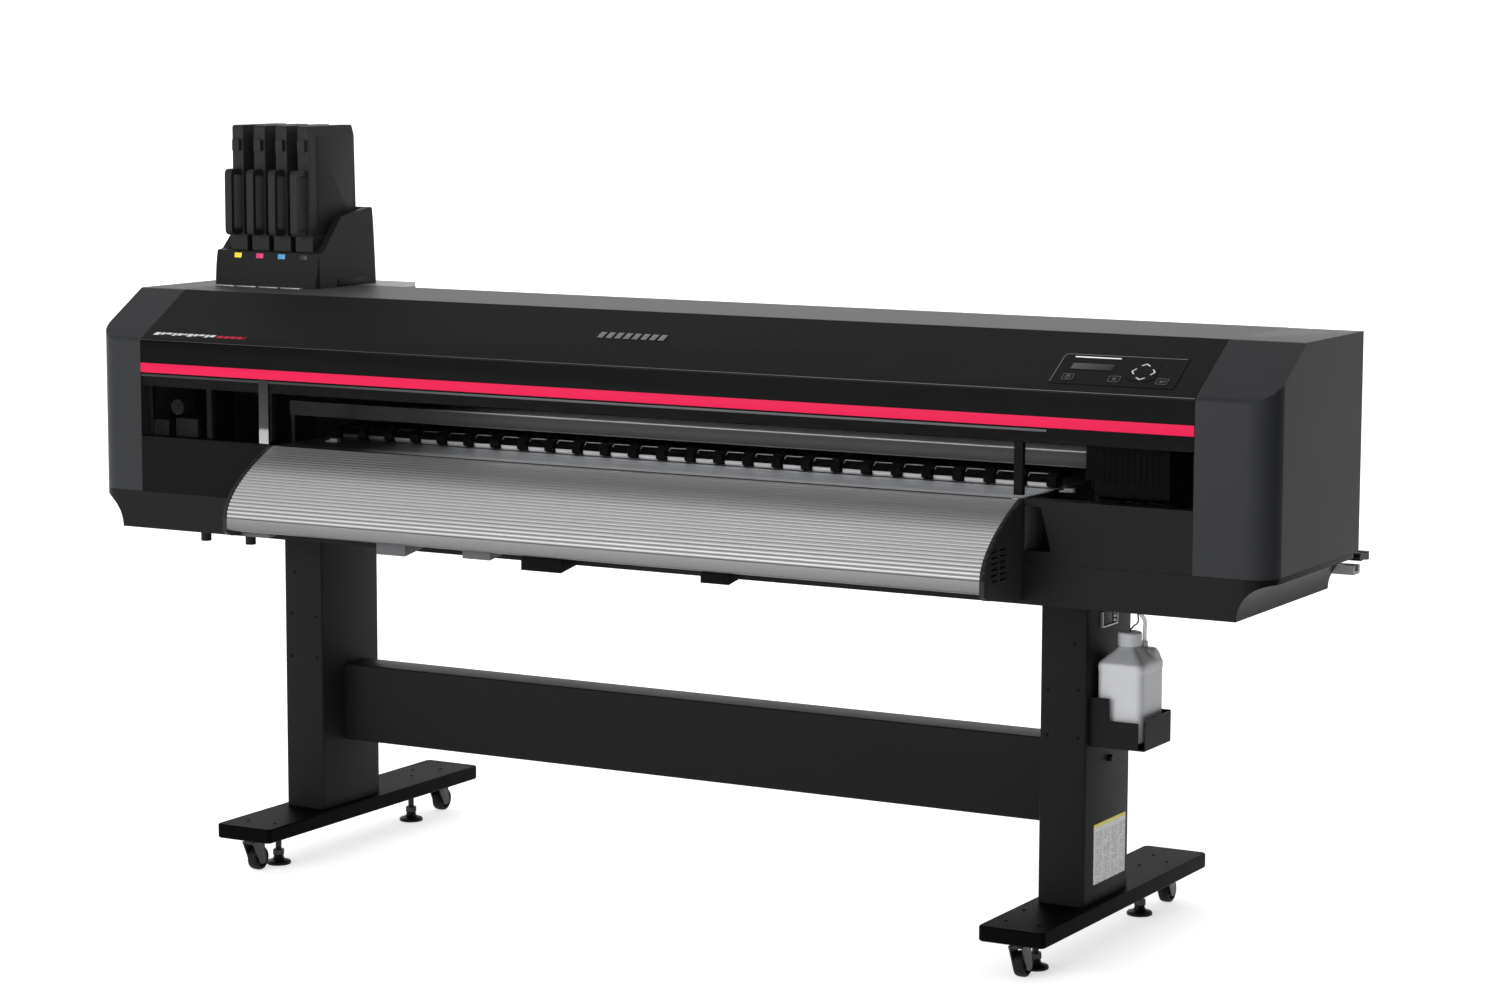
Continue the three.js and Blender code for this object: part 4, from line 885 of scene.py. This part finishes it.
def apron_profile():
    """The apron's (y, z) section and how shaded each of its points is: 25 ribs that round over into
    narrow grooves, shallower near the platen, the lip with its turned-in hem, and the plain inner face
    5 mm behind."""
    ribs = 25
    within = np.array([0.0, 0.06, 0.12, 0.2, 0.35, 0.5, 0.65, 0.78, 0.88, 0.94])
    depth = np.array([-1.6, -1.5, -0.75, -0.28, -0.06, 0.0, -0.12, -0.45, -1.0, -1.5])
    shade = np.array([1.0, 0.85, 0.3, 0.05, 0.0, 0.05, 0.3, 0.65, 0.9, 1.0])
    share = (np.arange(ribs)[:, None] + within[None]).ravel() / ribs
    shallow = np.interp(np.arange(ribs), [0, 5, 12], [0.25, 0.45, 1.0])
    outer = apron_curve(share, np.outer(shallow, depth).ravel())
    lip = [(-393.5, 761.0), (-393.5, 740.0), (-392.0, 738.0), (-381.5, 735.0), (-381.5, 738.0),
           (-388.5, 742.0)]
    inner = apron_curve(np.linspace(1, 0, 24), np.full(24, -5.0))
    section = np.vstack([outer, lip, inner])
    return section, np.concatenate([np.tile(shade, ribs), np.zeros(len(section) - len(outer))])


apron_low, apron_high = node_box("apron")
# Painted reflection: the apron's colour changes with height, darkest at the lip, brightest across the lower
# middle of the curve and dimmer towards the platen. Painted shade darkens the grooves between the ribs, from
# the share stored on each point.
anodised = Finish("anodised", rgb(176, 177, 178), 0.4, 0.7)
fall = anodised.along("Z").between(0.738, 0.895)
crest_painted_reflection = anodised.ramp(fall, (0.0, 0.1), (0.02, 0.13), (0.14, 0.19), (0.165, 0.4), (0.35, 0.52), (0.55, 0.54),
                      (0.7, 0.46), (0.8, 0.29), (0.87, 0.24), (0.95, 0.3), (1.0, 0.38))
valley_painted_reflection = anodised.ramp(fall, (0.0, 0.1), (0.14, 0.16), (0.35, 0.2), (0.55, 0.28), (0.7, 0.33), (0.8, 0.25),
                       (0.87, 0.22), (0.95, 0.28), (1.0, 0.36))
groove = anodised.node("ShaderNodeAttribute", {"attribute_name": "groove"}, {}, output="Fac")
cloud = anodised.noise(1.0, 2.0, (5.0, 3.0, 3.0))
anodised.set("Base Color", anodised.mix(groove, crest_painted_reflection, valley_painted_reflection))
anodised.set("Roughness", 0.36 + cloud * 0.14)
section, shading = apron_profile()
width = apron_high[0] - apron_low[0]
web = plate(box_outline(-234.0, -230.3, 722, 890), 0, width)
shell = piece("apron_shell", [plate(section, 0, width), web], facing_right(apron_low[0]), anodised,
              replaces=["apron"])
corners = np.zeros(len(shell.data.vertices) * 3)
shell.data.vertices.foreach_get("co", corners)
across = (corners.reshape(-1, 3)[:, 1:] - (middle_y, 0.0)) / mm
nearest = np.argmin(((across[:, None] - section[None]) ** 2).sum(-1), 1)
shell.data.attributes.new("groove", "FLOAT", "POINT").data.foreach_set("value", shading[nearest])
end_plate_black = powder_coat("end_plate_black", rgb(42, 42, 43), 0.45, 0.1)
# Black sheets inside the end plates, behind the air slots, are painted shadow seen through the slots.
slot_shadow_outline = np.vstack([apron_curve(np.linspace(0.3, 0.97, 14), np.full(14, -5.6)), [(-296, 745), (-296, 840)]])
for side, edge_x, lay in (("left", apron_low[0], facing_left), ("right", apron_high[0], facing_right)):
    dressed(f"apron_end_{side}", end_plate_black)
    piece(f"air_slot_painted_shadow_{side}", [plate(slot_shadow_outline, -1.4, -0.2)], lay(edge_x), inner_black)
seal = plate(box_outline(-837, 837, body_front - 4.4, body_front - 0.6, 0.8), 895.3, 896.3, 0.3)
piece("apron_seal", [seal], facing_up(0), inner_black)


def under_lip(x, width, low, high):
    """A folded stay: an upright plate 345 mm in front of the middle, with a web sloping up behind it."""
    return plate([(-345, low), (-345, high), (-232, high + 12), (-232, low + 18)], x, x + width, 0.6)


stay_grey = powder_coat("stay_grey", rgb(88, 89, 91), 0.45, 0.2)
grey_stays = [under_lip(-858, 77, 719, 731), under_lip(-516, 70, 706, 730), under_lip(-309, 66, 713, 728)]
piece("apron_stays", grey_stays, facing_right(0), stay_grey)
piece("apron_stays_black", [under_lip(-171, 93, 700, 726), under_lip(236, 63, 706, 726)], facing_right(0),
      inner_black)

# ------------------------------------------------------------------ front cover
# A painted cover hinged at the top panel: a satin slope, a glossy band along the front with a pink
# stripe at its foot, and a smoked acrylic window hung under it between two posts.
top_z = node_box("top_panel")[1][2]
fold_z = 1100
slope_depth = 158
cover_edge = 1197
on_slope = sloping(body_front, fold_z, math.atan2(top_z - fold_z, slope_depth))
cover_paint = powder_coat("cover_black", rgb(26, 26, 26), 0.5, 0.06)
band_gloss = Finish("band_gloss", rgb(8, 8, 8), 0.16, Specular_IOR_Level=0.06)
# Painted reflection: the glossy band goes from dark at the left to lighter towards the right.
band_gloss.tones(band_gloss.along("X").between(-1.2, 0.1), 0.3, 1.6)
# The left post cover is bright along its foot as a painted highlight, and dark grey above.
post_metal_painted_highlight = Finish("post_metal_painted_highlight", rgb(104, 107, 107), 0.5, Specular_IOR_Level=0.1)
post_rise = post_metal_painted_highlight.along("Z").between(0.897, 1.0295)
post_metal_painted_highlight.set("Base Color", post_metal_painted_highlight.ramp(post_rise, (0.0, 0.42), (0.2, 0.36), (0.25, 0.05), (1.0, 0.02)))
dressed("front_cover", cover_paint, 0.0008,
        others=[(band_gloss, lambda c, n: n.y < -0.9 and 1031 < c.z < fold_z - 1)])
smoke = Finish("smoke_window", rgb(2, 2, 2), 0.04, Specular_IOR_Level=0.03)
smoke.set("Alpha", 0.12 + smoke.noise(1.2) * 0.04)
dressed("cover_window", smoke, 0.0004)

post_cover = plate(box_outline(-889, -865, 897, 1029.5, 0.8), 0, 0.9, 0.4)
piece("left_post_cover", [post_cover], facing_front(body_front), post_metal_painted_highlight, "front_cover")
# A thin strip along the slope's fold is a painted highlight, dark at the left and brightening towards the
# right.
fold_painted_highlight = Finish("fold_painted_highlight", rgb(150, 151, 153), 0.4)
fold_highlight_lit = fold_painted_highlight.along("X").between(-1.1, 0.7)
fold_painted_highlight.set("Base Color", fold_painted_highlight.mix(fold_highlight_lit, rgb(14, 14, 15), rgb(104, 105, 106)))
piece("cover_fold_painted_highlight", [plate(box_outline(-cover_edge, cover_edge, 0.2, 0.9), -1.2, 0.1)], on_slope,
      fold_painted_highlight, "front_cover")
stripe_pink = Finish("stripe_pink", rgb(226, 31, 80), 0.4, Specular_IOR_Level=0.08)
# Painted shade: the pink stripe is a little darker towards the left.
stripe_pink.tones(stripe_pink.along("X").between(-1.2, 1.2), 0.84, 1.0)
stripe = plate(box_outline(-cover_edge, cover_edge, 1031, 1051, 0.6), -0.3, 0.6, 0.3)
piece("pink_stripe", [stripe], facing_front(body_front), stripe_pink, "front_cover")
hem_grey = Finish("hem_grey", rgb(70, 72, 74), 0.45)
# Painted shade: the hem is near black at the left and grey further right.
hem_lit = hem_grey.along("X").between(-0.75, -0.3)
hem_grey.set("Base Color", hem_grey.mix(hem_lit, rgb(3, 3, 3), rgb(62, 65, 67)))
hem = plate(box_outline(1 - cover_edge, 905, 1023, 1027.6, 0.5), -0.2, 0.3, 0.2)
piece("window_hem", [hem], facing_front(body_front), hem_grey, "front_cover")


def slanted(a, b, width, height, lean):
    """A four-sided outline whose top is moved sideways by lean."""
    return [(a, b), (a + width, b), (a + width + lean, b + height), (a + lean, b + height)]


print_white = Finish("print_white", rgb(226, 227, 229), 0.5, Specular_IOR_Level=0.1)
print_white.tones(print_white.noise(60.0), 0.95, 1.05)
dashes = [(-1175, 13), (-1158, 9), (-1145, 14), (-1127, 8), (-1115, 12), (-1099, 7), (-1088, 12), (-1072, 9),
          (-1059, 13), (-1042, 8), (-1030, 12)]
marks = [plate(slanted(a, 19 + 2 * (index % 3), width, 9 - 2 * (index % 3), 4), 0, 0.3)
         for index, (a, width) in enumerate(dashes)]
piece("left_mark_dashes", marks, on_slope, print_white, "front_cover")
mark_red = Finish("mark_red", rgb(196, 30, 62), 0.4, Specular_IOR_Level=0.1)
mark_red.tones(mark_red.noise(60.0), 0.9, 1.1)
blocks = [plate(slanted(a, 19.5, 13, 7, 3), 0, 0.3) for a in (-1010, -993, -976, -959)]
blocks.append(plate(slanted(-941, 17, 1.6, 12, 4), 0, 0.3))
piece("left_mark_blocks", blocks, on_slope, mark_red, "front_cover")
badge_silver = Finish("badge_silver", rgb(128, 129, 131), 0.35, 0.6)
badge_silver.tones(badge_silver.noise(90.0), 0.8, 1.1)
bars = [plate(slanted(-112 + 20 * step, 89, 13, 18, 3), 0.2, 1.8, 0.4) for step in range(8)]
piece("badge_bars", bars, on_slope, badge_silver, "front_cover")
piece("badge_base", [plate(box_outline(-115, 45, 96, 99, 1), 0, 0.6, 0.3)], on_slope, band_gloss,
      "front_cover")

# ------------------------------------------------------------------ control panel
# A satin black panel let into the slope, with a small display, a round-cornered pad of four arrows and
# three keys. Outlines, chevrons and a light bar are printed or lit in white.
panel_black = powder_coat("panel_black", rgb(18, 18, 18), 0.4, 0.06)
dressed("control_panel", panel_black, 0.0008)
dressed("arrow_pad", panel_black, 0.0006)
for name in ("key_power", "key_cancel", "key_enter"):
    dressed(name, panel_black, 0.0005)
panel_height = 1.2
key_height = 2.0
left, right, low, high, corner = 899.0, 1143.0, 27.0, 114.0, 9.0
turn = np.linspace(math.pi, math.pi / 2, 7)
rounded = [(left + corner + corner * math.cos(t), high - corner + corner * math.sin(t)) for t in turn]
panel_line = stroke([(left, low), *rounded, (right, high)], 0.8, panel_height - 0.1, panel_height + 0.15)
line_grey = Finish("line_grey", rgb(150, 151, 153), 0.4)
line_grey.tones(line_grey.noise(30.0), 0.9, 1.1)
piece("panel_outline", [panel_line], on_slope, line_grey, "front_cover")
lit_white = Finish("lit_white", rgb(240, 241, 243), 0.4, Emission_Strength=0.3)
lit_white.set("Emission Color", (0.9, 0.93, 1.0, 1.0))
lit_white.tones(lit_white.noise(50.0), 0.95, 1.05)
light_bar = plate(box_outline(921, 1014, 104.5, 107.5, 1.2), panel_height - 0.2, panel_height + 0.5, 0.3)
piece("status_light", [light_bar], on_slope, lit_white, "front_cover")
display_glass = Finish("display_glass", rgb(70, 71, 73), 0.2, Specular_IOR_Level=0.1)
across = display_glass.along("X").between(0.905, 0.995)
cells = (display_glass.along("X") * (1 / 0.0042)).fraction().above(0.12)
display_colour = display_glass.mix(across, rgb(88, 89, 91), rgb(46, 47, 49))
display_glass.set("Base Color", display_glass.mix(cells, rgb(50, 51, 53), display_colour))
pane = plate(box_outline(925, 1008, 69, 87, 1), panel_height - 0.3, panel_height + 0.3, 0.2)
piece("display", [pane], on_slope, display_glass, "front_cover")
pane_frame = stroke(box_outline(923, 1010, 67, 89, 2), 1.4, panel_height - 0.2, panel_height + 0.5, True)
piece("display_frame", [pane_frame], on_slope, socket_black, "front_cover")
chevrons = []
for a, b, across, up in ((1070, 90, 0, 1), (1052, 69, -1, 0), (1091, 69, 1, 0), (1072, 48, 0, -1)):
    tip = np.array([across, up]) * 3.0
    wing = np.array([up, across]) * 8.5
    chevrons.append(stroke([tip * -1 + wing + (a, b), tip + (a, b), tip * -1 - wing + (a, b)], 2.6,
                           key_height - 0.1, key_height + 0.2))
piece("pad_chevrons", chevrons, on_slope, print_white, "arrow_pad")
key_print = Finish("key_print", rgb(128, 129, 131), 0.5, Specular_IOR_Level=0.1)
key_print.tones(key_print.noise(60.0), 0.9, 1.1)
key_marks = {
    "key_power": (930, [stroke(box_outline(-4.5, 4.5, -4.5, 4.5, 4.4), 1.0, 0, 0.3, True),
                        plate(box_outline(-0.6, 0.6, 0, 6.5), 0, 0.35)]),
    "key_cancel": (1023, [stroke([(-3.5, -3.5), (3.5, 3.5)], 1.1, 0, 0.3),
                          stroke([(-3.5, 3.5), (3.5, -3.5)], 1.1, 0, 0.32)]),
    "key_enter": (1118, [stroke([(5, 4), (5, -1), (-4, -1)], 1.1, 0, 0.3),
                         stroke([(-1.5, 2), (-4.8, -1), (-1.5, -4)], 1.1, 0, 0.32)])}
for name, (x, icon) in key_marks.items():
    outline = stroke(box_outline(-11, 11, -8.5, 8.5, 2), 0.7, 0, 0.2, True)
    shapes = [moved(shape, x, 43, key_height - 0.1) for shape in [outline, *icon]]
    piece(f"{name}_mark", shapes, on_slope, key_print, name)

# ------------------------------------------------------------------ ink dock and cartridges
# A painted housing on the top panel holds four tall cartridges. A small coloured tab marks each bay, and
# four bright latch plates lie in front of it.
dock_paint = powder_coat("dock_black", rgb(30, 30, 30), 0.45, 0.1)
dressed("ink_dock", dock_paint, 0.0015, 3)
cartridge_black = powder_coat("cartridge_black", rgb(40, 40, 41), 0.45, 0.1)
dock_face = sloping(78, top_z, math.atan2(1271 - top_z, 12))
inks = {"yellow": (rgb(250, 230, 34), -1184), "magenta": (rgb(222, 40, 120), -1126),
        "cyan": (rgb(70, 160, 218), -1068), "black": (rgb(10, 10, 11), -1010)}
for ink, (colour, x) in inks.items():
    node = f"ink_cartridge_{ink}"
    dressed(node, cartridge_black, 0.0009)
    side_panel = plate(box_outline(130, 262, 1330, 1520, 8), 0, 0.9, 0.5)
    piece(f"cartridge_side_{ink}", [side_panel], facing_right(x + 15), cartridge_black, node)
    grooves = [plate(box_outline(x - 9, x + 9, z, z + 3, 1.2), 0, 0.8, 0.3) for z in range(1456, 1484, 7)]
    piece(f"cartridge_grip_{ink}", grooves, facing_front(101), cartridge_black, node)
    label = Finish(f"label_{ink}", colour, 0.35)
    label.tones(label.noise(80.0), 0.95, 1.05)
    tab = plate(box_outline(x - 3, x + 16, 61, 71.6, 1), 0, 0.5, 0.2)
    piece(f"bay_label_{ink}", [tab], dock_face, label)
latches = [plate(box_outline(x - 26, x + 26, 46, 61, 1.5), 0, 2.6, 0.6) for _, x in inks.values()]
piece("latch_plates", latches, facing_up(top_z), socket_metal)
dock_notch = plate([(159, 1213), (254, 1213), (263, top_z + 0.6), (150, top_z + 0.6)], -1, 0.6, 0.3)
piece("dock_notch", [dock_notch], facing_right(-960), socket_black)
